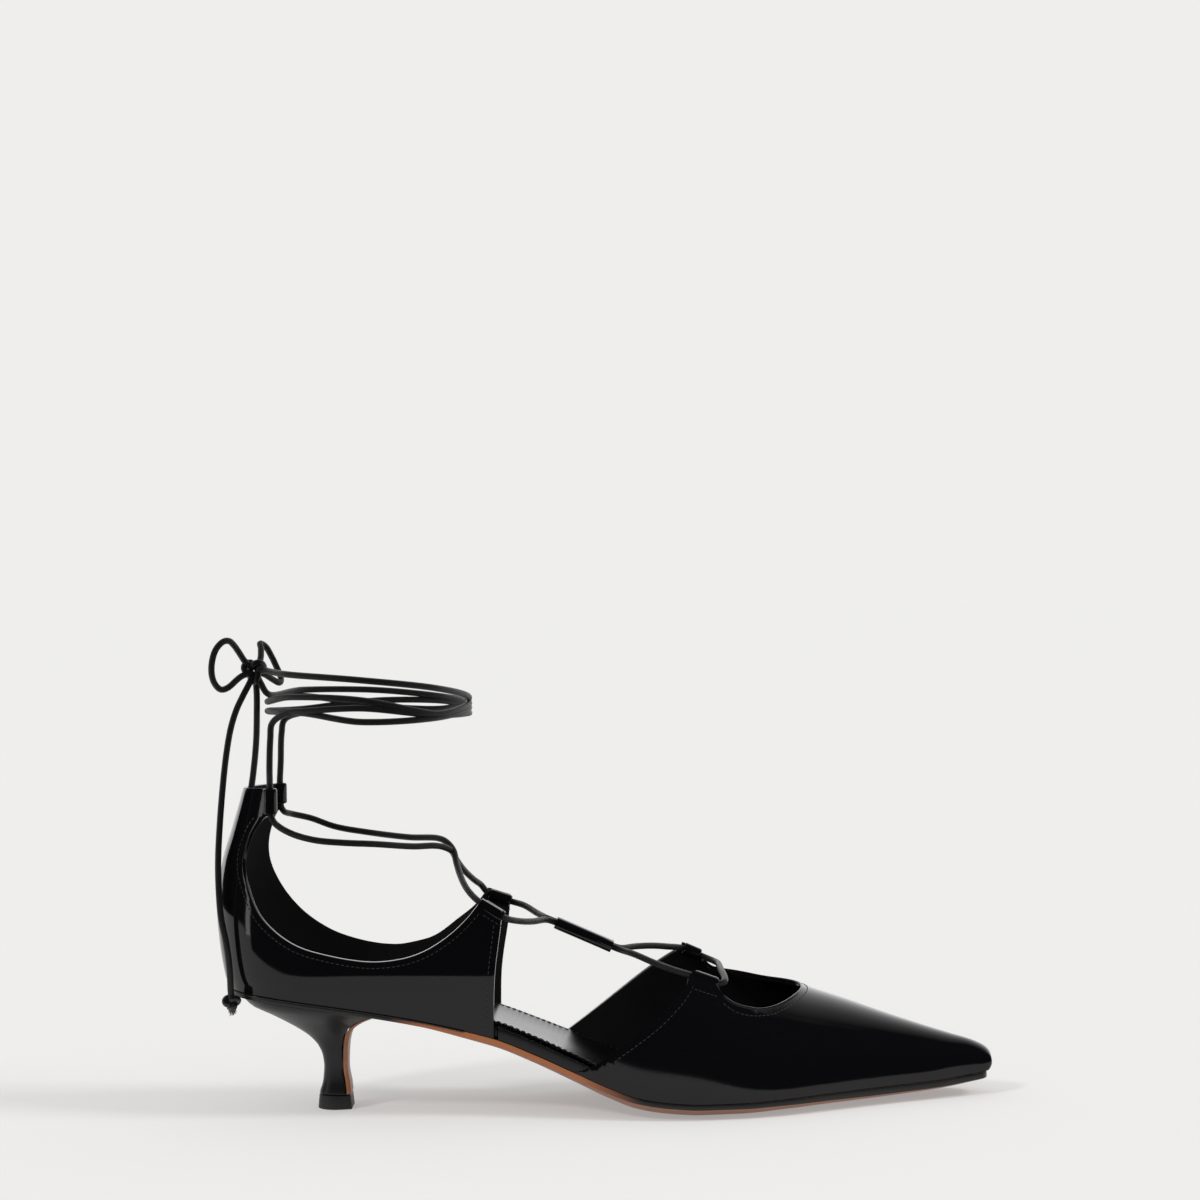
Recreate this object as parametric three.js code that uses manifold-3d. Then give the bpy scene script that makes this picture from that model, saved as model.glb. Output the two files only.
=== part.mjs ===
// Right shoe of a pair of lace up kitten heels, in millimetres.
// +X runs from heel to toe, +Y to the inner side of the foot, +Z up.
// The origin is the centre of the top lift's underside, on the floor.
import * as THREE from 'three';
import { mergeVertices } from 'three/addons/utils/BufferGeometryUtils.js';
import Module from 'manifold-3d';

const wasm = await Module();
wasm.setup();

// Driving sizes of the last
const shoeLength = 262;
const ballWidth = 80;
const seatWidth = 51;
const toeTipWidth = 15;
const seatHeight = 42;
const instepHeight = 62;
const counterHeight = 68;
const heelTipAt = 39;

// Walls and layers
const upperWall = 1.5;
const outsoleEdge = 2.4;
const outsoleBelly = 2.0;
const treadPress = 1.2;
const boardThickness = 4.2;
const sockThickness = 1.0;
const seam = 0.3;

// Heel and its lift
const liftHeight = 4.8;
const liftLength = 10.8;
const liftWidth = 12.5;
const neckLength = 8.4;
const neckWidth = 10.4;
const flapThickness = 1.4;

// Lace and what holds it
const laceWidth = 2.2;
const tunnelBore = 3.0;
const tunnelWall = 0.9;
const backTunnelLength = { outer: 8.6, inner: 7 };
const keeperLength = 20.8;
const keeperWidth = 8.2;
const keeperThickness = 4.2;
const endKnotWidth = 6.4;

// Ankle turns
const ankleLength = 68.6;
const ankleWidth = 62;
const ankleMiddle = 13.2;

const laceSides = 8;
const laceStep = 6.6;
const longStep = 8.6;

// Colours of the finished pieces
const blackLeather = new THREE.MeshStandardMaterial({ color: 0x060607, roughness: 0.28, metalness: 0 });
const sockLeather = new THREE.MeshStandardMaterial({ color: 0x0b0b0c, roughness: 0.3, metalness: 0 });
const soleLeather = new THREE.MeshStandardMaterial({ color: 0x8a4b2b, roughness: 0.45, metalness: 0 });
const heelCover = new THREE.MeshStandardMaterial({ color: 0x18181a, roughness: 0.35, metalness: 0 });
const liftRubber = new THREE.MeshStandardMaterial({ color: 0x101010, roughness: 0.6, metalness: 0 });
const laceCord = new THREE.MeshStandardMaterial({ color: 0x1c1b1d, roughness: 0.55, metalness: 0 });

// Places along the shoe, as shares of its length from the back of the seat to the toe tip
const along = (share) => share * shoeLength - heelTipAt;
const shareAt = (x) => (x + heelTipAt) / shoeLength;

// Smooth reading of one column of a table against its "at" column, with no overshoot
function reader(table, column) {
  const at = table.map((row) => row.at);
  const value = table.map((row) => row[column]);
  const last = at.length - 1;
  const slope = at.slice(0, last).map((_, i) => (value[i + 1] - value[i]) / (at[i + 1] - at[i]));
  const tangent = at.map((_, i) => {
    if (i === 0) return slope[0];
    if (i === last) return slope[last - 1];
    const product = slope[i - 1] * slope[i];
    return product <= 0 ? 0 : (2 * product) / (slope[i - 1] + slope[i]);
  });
  return (s) => {
    if (s <= at[0]) return value[0];
    if (s >= at[last]) return value[last];
    let i = 0;
    while (s > at[i + 1]) i += 1;
    const span = at[i + 1] - at[i];
    const t = (s - at[i]) / span;
    return (
      value[i] * (1 + 2 * t) * (1 - t) ** 2 +
      value[i + 1] * t * t * (3 - 2 * t) +
      span * tangent[i] * t * (1 - t) ** 2 +
      span * tangent[i + 1] * t * t * (t - 1)
    );
  };
}

// Sole outline. at: share of the length; middle and half: shares of the ball width;
// drop: height of the feather edge above the forefoot's, as a share of the seat's;
// cup: how far the last's bottom hangs below its edges, as a share of the ball width.
const soleTable = [
  { at: 0.0, middle: 0.0, half: 0.31, drop: 1.0, cup: 0.0 },
  { at: 0.08, middle: 0.0, half: 0.318, drop: 0.945, cup: 0.004 },
  { at: 0.15, middle: 0.002, half: 0.32, drop: 0.875, cup: 0.006 },
  { at: 0.24, middle: 0.0, half: 0.315, drop: 0.765, cup: 0.006 },
  { at: 0.3, middle: -0.006, half: 0.305, drop: 0.672, cup: 0.006 },
  { at: 0.36, middle: -0.014, half: 0.302, drop: 0.56, cup: 0.006 },
  { at: 0.41, middle: -0.022, half: 0.318, drop: 0.422, cup: 0.008 },
  { at: 0.46, middle: -0.03, half: 0.35, drop: 0.27, cup: 0.014 },
  { at: 0.5, middle: -0.033, half: 0.388, drop: 0.15, cup: 0.02 },
  { at: 0.54, middle: -0.03, half: 0.426, drop: 0.055, cup: 0.025 },
  { at: 0.58, middle: -0.02, half: 0.458, drop: 0.015, cup: 0.026 },
  { at: 0.62, middle: -0.008, half: 0.478, drop: 0.0, cup: 0.026 },
  { at: 0.67, middle: 0.008, half: 0.476, drop: 0.0, cup: 0.024 },
  { at: 0.73, middle: 0.028, half: 0.436, drop: 0.01, cup: 0.016 },
  { at: 0.79, middle: 0.046, half: 0.356, drop: 0.02, cup: 0.01 },
  { at: 0.85, middle: 0.06, half: 0.266, drop: 0.024, cup: 0.006 },
  { at: 0.9, middle: 0.07, half: 0.2, drop: 0.03, cup: 0.004 },
  { at: 0.95, middle: 0.076, half: 0.143, drop: 0.045, cup: 0.002 },
  { at: 1.0, middle: 0.08, half: 0.1, drop: 0.085, cup: 0.0 },
];
const soleMiddle = reader(soleTable, 'middle');
const soleHalf = reader(soleTable, 'half');
const soleDrop = reader(soleTable, 'drop');
const soleCup = reader(soleTable, 'cup');

// Places of the sole's sections. The layers above read its height along the same straight stretches,
// so that they lie on it with an even gap.
const soleTipAt = along(0.998);
const tipRound = 0.02 * shoeLength;
const soleStations = [
  ...[0.0132, 0.018, 0.03, 0.05, 0.08, 0.115, 0.16, 0.22, 0.28, 0.325, 0.37, 0.4, 0.43, 0.46],
  ...[0.495, 0.53, 0.57, 0.61, 0.66, 0.71, 0.76, 0.81, 0.86, 0.91, 0.95, 0.978],
].map(along);
const toeStations = [0.25, 0.65, 0.9, 0.985].map((t) => soleTipAt - tipRound + t * tipRound);
const stations = [...soleStations, ...toeStations];
const straightened = (f) => (x) => {
  const last = stations.length - 1;
  if (x >= stations[last]) return f(stations[last]);
  const i = Math.max(1, stations.findIndex((station) => station >= x));
  const t = Math.max(0, (x - stations[i - 1]) / (stations[i] - stations[i - 1]));
  return (1 - t) * f(stations[i - 1]) + t * f(stations[i]);
};

// The forefoot's feather edge lies above the floor by the sole's edge, its belly and the cup of the last,
// less what the tread is pressed flat
const forefootCup = 0.026 * ballWidth;
const forefootEdge = outsoleEdge + outsoleBelly + forefootCup - treadPress;
const featherRise = seatHeight - forefootEdge;
const featherZ = straightened((x) => forefootEdge + featherRise * soleDrop(shareAt(x)));
const hangAt = straightened((x) => soleCup(shareAt(x)) * ballWidth);

// Half width at the round back of the seat and at the square toe tip
const seatBack = along(0.0118);
const seatRound = 0.13 * shoeLength;
function halfWidth(x, inset = 0) {
  const s = shareAt(x);
  const blend = THREE.MathUtils.smoothstep(s, 0.3, 0.5);
  const toe = THREE.MathUtils.smoothstep(s, 0.93, 1.0);
  const seatShare = soleHalf(s) / 0.32;
  let half = (1 - blend) * seatShare * (seatWidth / 2) + blend * soleHalf(s) * ballWidth;
  half = (1 - toe) * half + (toe * toeTipWidth) / 2 - inset;
  const back = (seatBack + seatRound - x) / (seatRound - inset);
  if (back > 0) half *= Math.sqrt(Math.max(0, 1 - back ** 2.2)) ** 1.02;
  const tip = (x - soleTipAt + tipRound) / (tipRound - inset);
  if (tip > 0) half *= Math.max(0, 1 - tip ** 3.2) ** (1 / 3.2);
  return Math.max(half, 0.3);
}
const middleY = (x) => soleMiddle(shareAt(x)) * ballWidth;

// Closed solids from rings of points
function toManifold(geometry) {
  const bare = geometry.clone();
  bare.deleteAttribute('normal');
  bare.deleteAttribute('uv');
  const merged = mergeVertices(bare, 1e-4);
  return new wasm.Manifold(
    new wasm.Mesh({
      numProp: 3,
      vertProperties: new Float32Array(merged.attributes.position.array),
      triVerts: new Uint32Array(merged.index.array),
    }),
  );
}

function toGeometry(manifold) {
  const mesh = manifold.getMesh();
  const geometry = new THREE.BufferGeometry();
  geometry.setAttribute('position', new THREE.BufferAttribute(new Float32Array(mesh.vertProperties), 3));
  geometry.setIndex(new THREE.BufferAttribute(new Uint32Array(mesh.triVerts), 1));
  const flat = geometry.toNonIndexed();
  flat.computeVertexNormals();
  return flat;
}

// Whether a ring runs counter-clockwise in its flat plane
function runsLeft(ring, flatten) {
  return THREE.ShapeUtils.area(ring.map((p) => new THREE.Vector2(...flatten(p)))) > 0;
}

function signedVolume(geometry) {
  const p = geometry.attributes.position;
  const [a, b, c] = [new THREE.Vector3(), new THREE.Vector3(), new THREE.Vector3()];
  let volume = 0;
  for (let i = 0; i < geometry.index.count; i += 3) {
    a.fromBufferAttribute(p, geometry.index.getX(i));
    b.fromBufferAttribute(p, geometry.index.getX(i + 1));
    c.fromBufferAttribute(p, geometry.index.getX(i + 2));
    volume += a.dot(b.cross(c)) / 6;
  }
  return volume;
}

// The triangles that close an end ring, facing along or against the row of rings
function lid(ring, first, flatten, forward) {
  const triangles = THREE.ShapeUtils.triangulateShape(
    ring.map((p) => new THREE.Vector2(...flatten(p))),
    [],
  );
  const keep = runsLeft(ring, flatten) === forward;
  return triangles.flatMap(([a, b, c]) => (keep ? [first + a, first + b, first + c] : [first + a, first + c, first + b]));
}

// Skin over a row of rings; flatten gives the plane in which the two end rings are closed
function loft(rings, flatten) {
  const count = rings[0].length;
  const end = (rings.length - 1) * count;
  const index = [];
  for (let r = 0; r + 1 < rings.length; r += 1) {
    for (let i = 0; i < count; i += 1) {
      const a = r * count + i;
      const b = r * count + ((i + 1) % count);
      index.push(a, b, b + count, a, b + count, a + count);
    }
  }
  index.push(...lid(rings[0], 0, flatten, false));
  index.push(...lid(rings[rings.length - 1], end, flatten, true));
  const geometry = new THREE.BufferGeometry();
  geometry.setAttribute('position', new THREE.Float32BufferAttribute(rings.flat(2), 3));
  geometry.setIndex(index);
  if (signedVolume(geometry) < 0) geometry.setIndex([...index].reverse());
  return toManifold(geometry);
}

const inYZ = (p) => [p[1], p[2]];
const inXY = (p) => [p[0], p[1]];
const range = (count, from, to) =>
  Array.from({ length: count }, (_, i) => from + ((to - from) * i) / (count - 1));

// A prism across the shoe from an outline seen from the side
function sidePrism(points, yLow, yHigh) {
  const shape = new THREE.Shape(points.map(([x, z]) => new THREE.Vector2(x, z)));
  const geometry = new THREE.ExtrudeGeometry(shape, { depth: yHigh - yLow, bevelEnabled: false });
  geometry.rotateX(Math.PI / 2);
  geometry.translate(0, yHigh, 0);
  return toManifold(geometry);
}

// An upright prism from an outline seen from above
function planPrism(points, zLow, zHigh) {
  const shape = new THREE.Shape(points.map(([x, y]) => new THREE.Vector2(x, y)));
  const geometry = new THREE.ExtrudeGeometry(shape, { depth: zHigh - zLow, bevelEnabled: false });
  geometry.translate(0, 0, zLow);
  return toManifold(geometry);
}

// A round cord or rod along a smooth curve through points
function tube(points, width, sides, step, smooth = true) {
  const vectors = points.map((p) => new THREE.Vector3(...p));
  const path = smooth
    ? new THREE.CatmullRomCurve3(vectors, false, 'centripetal')
    : new THREE.LineCurve3(vectors[0], vectors[1]);
  const corners = range(sides + 1, 0, 2 * Math.PI)
    .slice(0, sides)
    .map((a) => new THREE.Vector2((width / 2) * Math.cos(a), (width / 2) * Math.sin(a)));
  const steps = Math.max(1, Math.round(path.getLength() / step));
  const geometry = new THREE.ExtrudeGeometry(new THREE.Shape(corners), { steps, extrudePath: path });
  return toManifold(geometry);
}
const lace = (points, step = laceStep) => tube(points, laceWidth, laceSides, step);

// One section across the sole: a flat or cupped top, a thin edge and a rounded belly
function layerRing(x, top, edge, belly, inset) {
  const half = halfWidth(x, inset);
  const middle = middleY(x);
  const hang = hangAt(x);
  const z = featherZ(x) + top;
  const ring = [];
  for (const y of [-1, -0.78, -0.5, 0.5, 0.78, 1]) {
    const share = Math.abs(y) < 0.6 ? 1 : Math.abs(y) < 0.9 ? 0.62 : 0;
    ring.push([x, middle + y * half, z - hang * share]);
  }
  for (const y of [1, 0.93, 0.78, 0.5, -0.5, -0.78, -0.93, -1]) {
    const size = Math.abs(y);
    const hangShare = size < 0.6 ? 1 : size < 0.9 ? 0.62 : size < 0.95 ? 0.2 : 0;
    const bellyShare = size < 0.6 ? 1 : size < 0.9 ? 0.86 : size < 0.95 ? 0.45 : 0;
    ring.push([x, middle + y * half, Math.max(0, z - edge - hang * hangShare - belly * bellyShare)]);
  }
  return ring;
}

// Thickness of the sole's edge and belly along the shoe: thin over the seat, full at the waist
const edgeTable = [
  { at: 0.0, edge: 0.62, belly: 0.0 },
  { at: 0.26, edge: 0.62, belly: 0.2 },
  { at: 0.34, edge: 1.0, belly: 0.6 },
  { at: 0.46, edge: 0.95, belly: 0.8 },
  { at: 0.58, edge: 0.7, belly: 1.0 },
  { at: 0.7, edge: 0.75, belly: 1.0 },
  { at: 0.85, edge: 1.0, belly: 0.7 },
  { at: 1.0, edge: 0.9, belly: 0.2 },
];
const edgeShare = reader(edgeTable, 'edge');
const bellyShare = reader(edgeTable, 'belly');
const soleRings = stations.map((x) =>
  layerRing(x, 0, outsoleEdge * edgeShare(shareAt(x)), outsoleBelly * bellyShare(shareAt(x)), 0),
);
const soleBody = loft(soleRings, inYZ);

// The heel breast, seen from the side. at: share of the height from floor to seat;
// front: how far it lies before the neck, as a share of the seat's reach behind the heel tip
const breastTable = [
  { at: 0.0, front: 0.036 },
  { at: 0.18, front: 0.026 },
  { at: 0.34, front: 0.003 },
  { at: 0.5, front: 0.01 },
  { at: 0.6, front: 0.031 },
  { at: 0.68, front: 0.087 },
  { at: 0.74, front: 0.185 },
  { at: 0.8, front: 0.354 },
];
const breastAt = reader(breastTable, 'front');
const breastX = (z) => neckLength / 2 + breastAt(z / seatHeight) * heelTipAt;

// Back line and half width of the heel, by height. back: how far it lies behind the neck, as a share of the
// seat's reach behind the heel tip; half: share of the seat's half width, and at the neck of its own
const narrowest = 0.2;
const heelTable = [
  { at: 0.0, back: 0.023, half: 0.245 },
  { at: 0.11, back: 0.02, half: 0.243 },
  { at: 0.23, back: 0.005, half: 0.21 },
  { at: 0.34, back: -0.005, half: narrowest },
  { at: 0.42, back: 0.005, half: 0.212 },
  { at: 0.5, back: 0.038, half: 0.25 },
  { at: 0.58, back: 0.108, half: 0.33 },
  { at: 0.65, back: 0.208, half: 0.44 },
  { at: 0.72, back: 0.333, half: 0.58 },
  { at: 0.79, back: 0.472, half: 0.74 },
  { at: 0.86, back: 0.62, half: 0.86 },
  { at: 0.95, back: 0.713, half: 0.92 },
];
const heelBackAt = reader(heelTable, 'back');
const heelHalfAt = reader(heelTable, 'half');
const heelBackX = (z) => -neckLength / 2 - heelBackAt(z / seatHeight) * heelTipAt;
function heelHalf(z) {
  const share = heelHalfAt(z / seatHeight);
  const wide = THREE.MathUtils.smoothstep(z / seatHeight, 0.4, 0.8);
  return share * ((wide * seatWidth) / 2 + ((1 - wide) * neckWidth) / (2 * narrowest));
}
const breastFlat = 0.93;

// A level section of the heel: straight breast, round back
function heelRing(z, frontGap, grow = 0) {
  const front = breastX(z) - frontGap;
  const back = heelBackX(z) - grow;
  const half = heelHalf(z) + grow;
  const deep = Math.min(front - back, half * 1.25);
  const ring = [
    [front, -half * breastFlat, z],
    [front, half * breastFlat, z],
  ];
  for (const a of range(13, 90, 270)) {
    const turn = THREE.MathUtils.degToRad(a);
    const c = Math.cos(turn);
    const s = Math.sin(turn);
    ring.push([back + deep - deep * Math.abs(c) ** 0.86, half * Math.sign(s) * Math.abs(s) ** 0.9, z]);
  }
  return ring;
}

const heelTop = 0.97 * seatHeight;
const breastLevels = [
  liftHeight + seam,
  ...[0.2, 0.3, 0.38, 0.45, 0.52, 0.58, 0.64, 0.7, 0.75, 0.79].map((s) => s * seatHeight),
];
const heelLevels = [...breastLevels, 0.85 * seatHeight, heelTop];
const heelBlock = loft(
  heelLevels.map((z) => heelRing(z, flapThickness + 1.5 * seam)),
  inXY,
);

// All that lies above the seat's underside, to trim the heel to it
const trimCount = 12;
const trimRings = soleRings.slice(0, trimCount).map((ring) => {
  const under = ring.slice(6);
  const first = under[0];
  const last = under[under.length - 1];
  const raised = under.map(([x, y, z]) => [x, y, z - seam]);
  const wide = seatWidth;
  return [
    ...[
      [first[0], wide, first[2] - seam],
      ...raised,
      [last[0], -wide, last[2] - seam],
      [last[0], -wide, 2 * seatHeight],
      [last[0], wide, 2 * seatHeight],
    ],
  ];
});
trimRings.unshift(trimRings[0].map(([x, y, z]) => [x - seatWidth, y, z]));
const heelSolid = heelBlock.subtract(loft(trimRings, inYZ));

// The flap of sole leather down the breast, joined to the sole where the breast sweeps forward
const flapBevel = 0.5;
const flapRings = breastLevels.map((z) => {
  const half = heelHalf(z) * breastFlat;
  const front = breastX(z);
  const back = front - flapThickness;
  return [
    [back, -half, z],
    [front, -half + flapBevel, z],
    [front, half - flapBevel, z],
    [back, half, z],
  ];
});
const flapSolid = loft(flapRings, inXY);
const outsoleSolid = soleBody.add(flapSolid);

// Top lift
function liftRing(z) {
  const front = liftLength / 2;
  const half = liftWidth / 2;
  const ring = [
    [front, -half * 0.86, z],
    [front, half * 0.86, z],
  ];
  for (const a of range(9, 90, 270)) {
    const turn = THREE.MathUtils.degToRad(a);
    ring.push([front * 0.1 + (liftLength * 0.6) * Math.cos(turn), half * Math.sin(turn), z]);
  }
  return ring;
}
const liftSolid = loft([liftRing(0), liftRing(liftHeight)], inXY);

// Insole board and sock. They are full width only at the open waist, and inside the upper elsewhere.
const waistFrom = along(0.3635);
const waistTo = along(0.4555);
const innerWaistTo = along(0.422);
const stepRun = 0.4;
const boardTable = [
  { at: 0.0, thick: 0.8 },
  { at: 0.36, thick: 1.05 },
  { at: 0.46, thick: 1.05 },
  { at: 0.56, thick: 0.7 },
  { at: 0.7, thick: 0.5 },
  { at: 1.0, thick: 0.36 },
];
const boardShare = reader(boardTable, 'thick');
const boardZ = (x) => boardThickness * boardShare(shareAt(x));
const insideUpper = upperWall + 2 * seam;
const boardInset = (x, side) => {
  const to = side < 0 ? waistTo : innerWaistTo;
  return x > waistFrom && x < to ? 0.2 : insideUpper;
};

function boardRing(x, low, high, inset) {
  const half = (side) => halfWidth(x, inset(side));
  const middle = middleY(x);
  const hang = hangAt(x);
  const z = featherZ(x);
  const point = (y, height) => {
    const size = Math.abs(y);
    const share = size < 0.6 ? 1 : size < 0.9 ? 0.62 : 0;
    return [x, middle + y * half(y), z + height - hang * share];
  };
  const steps = [-1, -0.78, -0.5, 0.5, 0.78, 1];
  return [...steps.map((y) => point(y, high)), ...steps.reverse().map((y) => point(y, low))];
}

const boardBack = seatBack + insideUpper;
const boardFront = along(0.965);
const boardStations = [
  ...[boardBack, along(0.035), along(0.06), along(0.1), along(0.15), along(0.2), along(0.26), along(0.32)],
  ...[waistFrom - 0.01, waistFrom + stepRun, along(0.39), innerWaistTo - stepRun, innerWaistTo + 0.01],
  ...[along(0.44), waistTo - stepRun, waistTo + 0.01],
  ...[0.49, 0.52, 0.55, 0.58, 0.615, 0.65, 0.69, 0.73, 0.77, 0.81, 0.85, 0.89, 0.93].map(along),
  boardFront,
];
// The board is flattened onto the level of the upper's inside where the last is low and pointed
const boardSolid = loft(
  boardStations.map((x) => boardRing(x, seam, boardZ(x), (side) => boardInset(x, side) + toeTaper(x))),
  inYZ,
);
function toeTaper(x) {
  return 1.6 * THREE.MathUtils.smoothstep(shareAt(x), 0.78, 0.95);
}

const sockBack = along(0.035) + insideUpper;
const sockFront = along(0.9);
const sockEdge = 0.9;
const sockStations = [
  ...[sockBack, along(0.055), along(0.08), along(0.12), along(0.16), along(0.2), along(0.26), along(0.32)],
  ...[0.36, 0.39, 0.42, 0.455, 0.49, 0.52, 0.55, 0.58, 0.615, 0.65, 0.69, 0.73, 0.77, 0.81, 0.85].map(along),
  sockFront,
];
const sockSolid = loft(
  sockStations.map((x) => {
    const low = boardZ(x) + seam;
    return boardRing(x, low, low + sockThickness, () => insideUpper + sockEdge + toeTaper(x));
  }),
  inYZ,
);

// Rear half of the upper

// Swell of the wall outside the seat's outline, by height above the seat, in shares of the counter height;
// rear is along the back, side is beside the seat, front is at the two lace tabs
const swellTable = [
  { at: 0.0, rear: 0.0, side: 0.0, front: 0.0 },
  { at: 0.08, rear: 0.022, side: 0.018, front: 0.01 },
  { at: 0.24, rear: 0.046, side: 0.03, front: 0.02 },
  { at: 0.37, rear: 0.056, side: 0.018, front: 0.036 },
  { at: 0.5, rear: 0.045, side: -0.012, front: 0.052 },
  { at: 0.65, rear: 0.019, side: -0.045, front: 0.058 },
  { at: 0.78, rear: -0.022, side: -0.07, front: 0.05 },
  { at: 1.0, rear: -0.088, side: -0.1, front: 0.03 },
];
const swellRear = reader(swellTable, 'rear');
const swellSide = reader(swellTable, 'side');
const swellFront = reader(swellTable, 'front');

// Plan of the seat's edge as a row of points from the outer tab round the heel to the inner tab
const rearTurn = 11;
const sideSteps = [0.14, 0.2, 0.26, 0.315, 0.362];
function seatEdge() {
  const outer = [];
  for (const t of range(rearTurn, 0, 1)) {
    const x = seatBack + seatRound * (1 - Math.cos((t * Math.PI) / 2)) * 0.985;
    outer.push([x, middleY(x) - halfWidth(x)]);
  }
  for (const s of sideSteps.slice(1)) {
    const x = along(s);
    outer.push([x, middleY(x) - halfWidth(x)]);
  }
  const inner = outer.slice(1).map(([x, y]) => [x, 2 * middleY(x) - y]);
  return [...outer.reverse(), ...inner];
}
const edge = seatEdge();
const edgeOut = edge.map((_, i) => {
  const before = edge[Math.max(0, i - 1)];
  const after = edge[Math.min(edge.length - 1, i + 1)];
  const length = Math.hypot(after[0] - before[0], after[1] - before[1]);
  return [(after[1] - before[1]) / length, -(after[0] - before[0]) / length].map((v) => -v);
});

// A point of the wall: i along the edge, share of the height, inset from the outer face
function wallPoint(i, share, inset) {
  const [x, y] = edge[i];
  const forward = THREE.MathUtils.smoothstep(shareAt(x), 0.16, 0.36);
  const beside = Math.abs(edgeOut[i][1]);
  const back = (1 - beside) * swellRear(share) + beside * swellSide(share);
  const out = counterHeight * ((1 - forward) * back + forward * swellFront(share)) - inset;
  const z = seatHeight + share * counterHeight;
  return [x + edgeOut[i][0] * out, y + edgeOut[i][1] * out, z];
}

const wallShares = [-0.26, -0.08, 0.02, 0.1, 0.18, 0.27, 0.37, 0.48, 0.6, 0.72, 0.85, 1.02];
const wallRings = wallShares.map((share) => [
  ...edge.map((_, i) => wallPoint(i, share, 0)),
  ...edge.map((_, i) => wallPoint(edge.length - 1 - i, share, upperWall)),
]);
const quarterWall = loft(wallRings, inXY);

// Side outlines. Each x is a share of the length, each z a share of the counter height above the seat.
const outline = (rows) => rows.map(([s, h]) => [along(s), seatHeight + h * counterHeight]);
const smoothLine = (points, count) => {
  const curve = new THREE.SplineCurve(points.map((p) => new THREE.Vector2(...p)));
  return curve.getSpacedPoints(count).map((p) => [p.x, p.y]);
};
const rowsOf = (table) => table.map((row) => [row.at, row.height]);

// The scooped topline from the heel tab forward to the outer lace tab, then down the front edge
const outerTopline = [
  { at: 0.0785, height: 0.872 },
  { at: 0.0635, height: 0.85 },
  { at: 0.0475, height: 0.766 },
  { at: 0.0385, height: 0.64 },
  { at: 0.045, height: 0.52 },
  { at: 0.0655, height: 0.37 },
  { at: 0.105, height: 0.25 },
  { at: 0.15, height: 0.19 },
  { at: 0.2, height: 0.155 },
  { at: 0.24, height: 0.163 },
  { at: 0.272, height: 0.2 },
  { at: 0.302, height: 0.27 },
  { at: 0.3265, height: 0.355 },
  { at: 0.3475, height: 0.455 },
];
const innerTopline = [
  { at: 0.0785, height: 0.893 },
  { at: 0.067, height: 0.84 },
  { at: 0.0575, height: 0.72 },
  { at: 0.0585, height: 0.6 },
  { at: 0.073, height: 0.465 },
  { at: 0.098, height: 0.335 },
  { at: 0.135, height: 0.23 },
  { at: 0.178, height: 0.17 },
  { at: 0.219, height: 0.147 },
  { at: 0.25, height: 0.162 },
  { at: 0.277, height: 0.195 },
  { at: 0.306, height: 0.275 },
  { at: 0.3295, height: 0.345 },
  { at: 0.3475, height: 0.43 },
];
const tabTop = { outer: [0.3475, 0.455, 0.3725, 0.394], inner: [0.3475, 0.43, 0.377, 0.393] };
const frontEdge = {
  outer: [
    [0.3685, 0.28],
    [0.3625, 0.12],
    [0.3595, -0.04],
    [0.3585, -0.3],
  ],
  inner: [
    [0.373, 0.25],
    [0.3665, 0.1],
    [0.363, -0.04],
    [0.362, -0.3],
  ],
};
const farUp = 1.6;
const farOut = 0.5;
function quarterCut(topline, tab, front) {
  return [
    ...smoothLine(outline(rowsOf(topline)), 26),
    ...outline([[tab[2], tab[3]], ...front]),
    ...outline([
      [farOut, -0.3],
      [farOut, farUp],
      [0.0785, farUp],
    ]),
  ];
}
const outerCut = sidePrism(quarterCut(outerTopline, tabTop.outer, frontEdge.outer), -ballWidth, 0);
const innerCut = sidePrism(quarterCut(innerTopline, tabTop.inner, frontEdge.inner), 0, ballWidth);

// Everything above the heel tab's top, and everything below the sole's upper face
const tabCut = sidePrism(
  [
    [along(-0.1), seatHeight + 0.985 * counterHeight],
    [along(0.0785), seatHeight + 1.0 * counterHeight],
    [along(0.0785), seatHeight + 2 * counterHeight],
    [along(-0.1), seatHeight + 2 * counterHeight],
  ],
  -ballWidth,
  ballWidth,
);
const floorLine = (lift) => [along(-0.1), ...stations, along(1.1)].map((x) => [x, featherZ(x) + lift]);
const below = sidePrism(
  [...floorLine(seam), [along(1.1), -seatHeight], [along(-0.1), -seatHeight]],
  -2 * ballWidth,
  2 * ballWidth,
);

// A lace tunnel: a thick round fold with a bore, from one mouth to the other
const tunnelWidth = tunnelBore + 2 * tunnelWall;
const tunnelSides = 12;
const stretch = (from, to, by) => {
  const a = new THREE.Vector3(...from);
  const b = new THREE.Vector3(...to);
  const d = b.clone().sub(a).normalize().multiplyScalar(by);
  return [a.sub(d).toArray(), b.add(d).toArray()];
};
const rod = (from, to, width) => tube([from, to], width, tunnelSides, 1000, false);

// The tabs' folds. Each runs along the tab's top edge, just inside the wall.
function foldUnder(tab, y, drop) {
  const [[x0, z0], [x1, z1]] = outline([
    [tab[0], tab[1]],
    [tab[2], tab[3]],
  ]);
  return [
    [x0 + 0.3, y[0], z0 - drop],
    [x1 + 0.1, y[1], z1 - drop],
  ];
}
const foldDrop = tunnelWidth / 2 - 0.2;
const faceAt = (side, x, z) => {
  const share = (z - seatHeight) / counterHeight;
  const points = edge.map((_, i) => wallPoint(i, share, 0)).filter((p) => Math.sign(p[1]) === side);
  points.sort((a, b) => Math.abs(a[0] - x) - Math.abs(b[0] - x));
  return points[0][1];
};
function sideTunnel(side, tab) {
  const [[x0, z0], [x1, z1]] = outline([
    [tab[0], tab[1]],
    [tab[2], tab[3]],
  ]);
  const sink = tunnelWidth / 2 - 0.15;
  return foldUnder(tab, [faceAt(side, x0, z0) - side * sink, faceAt(side, x1, z1) - side * sink], foldDrop);
}
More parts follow.
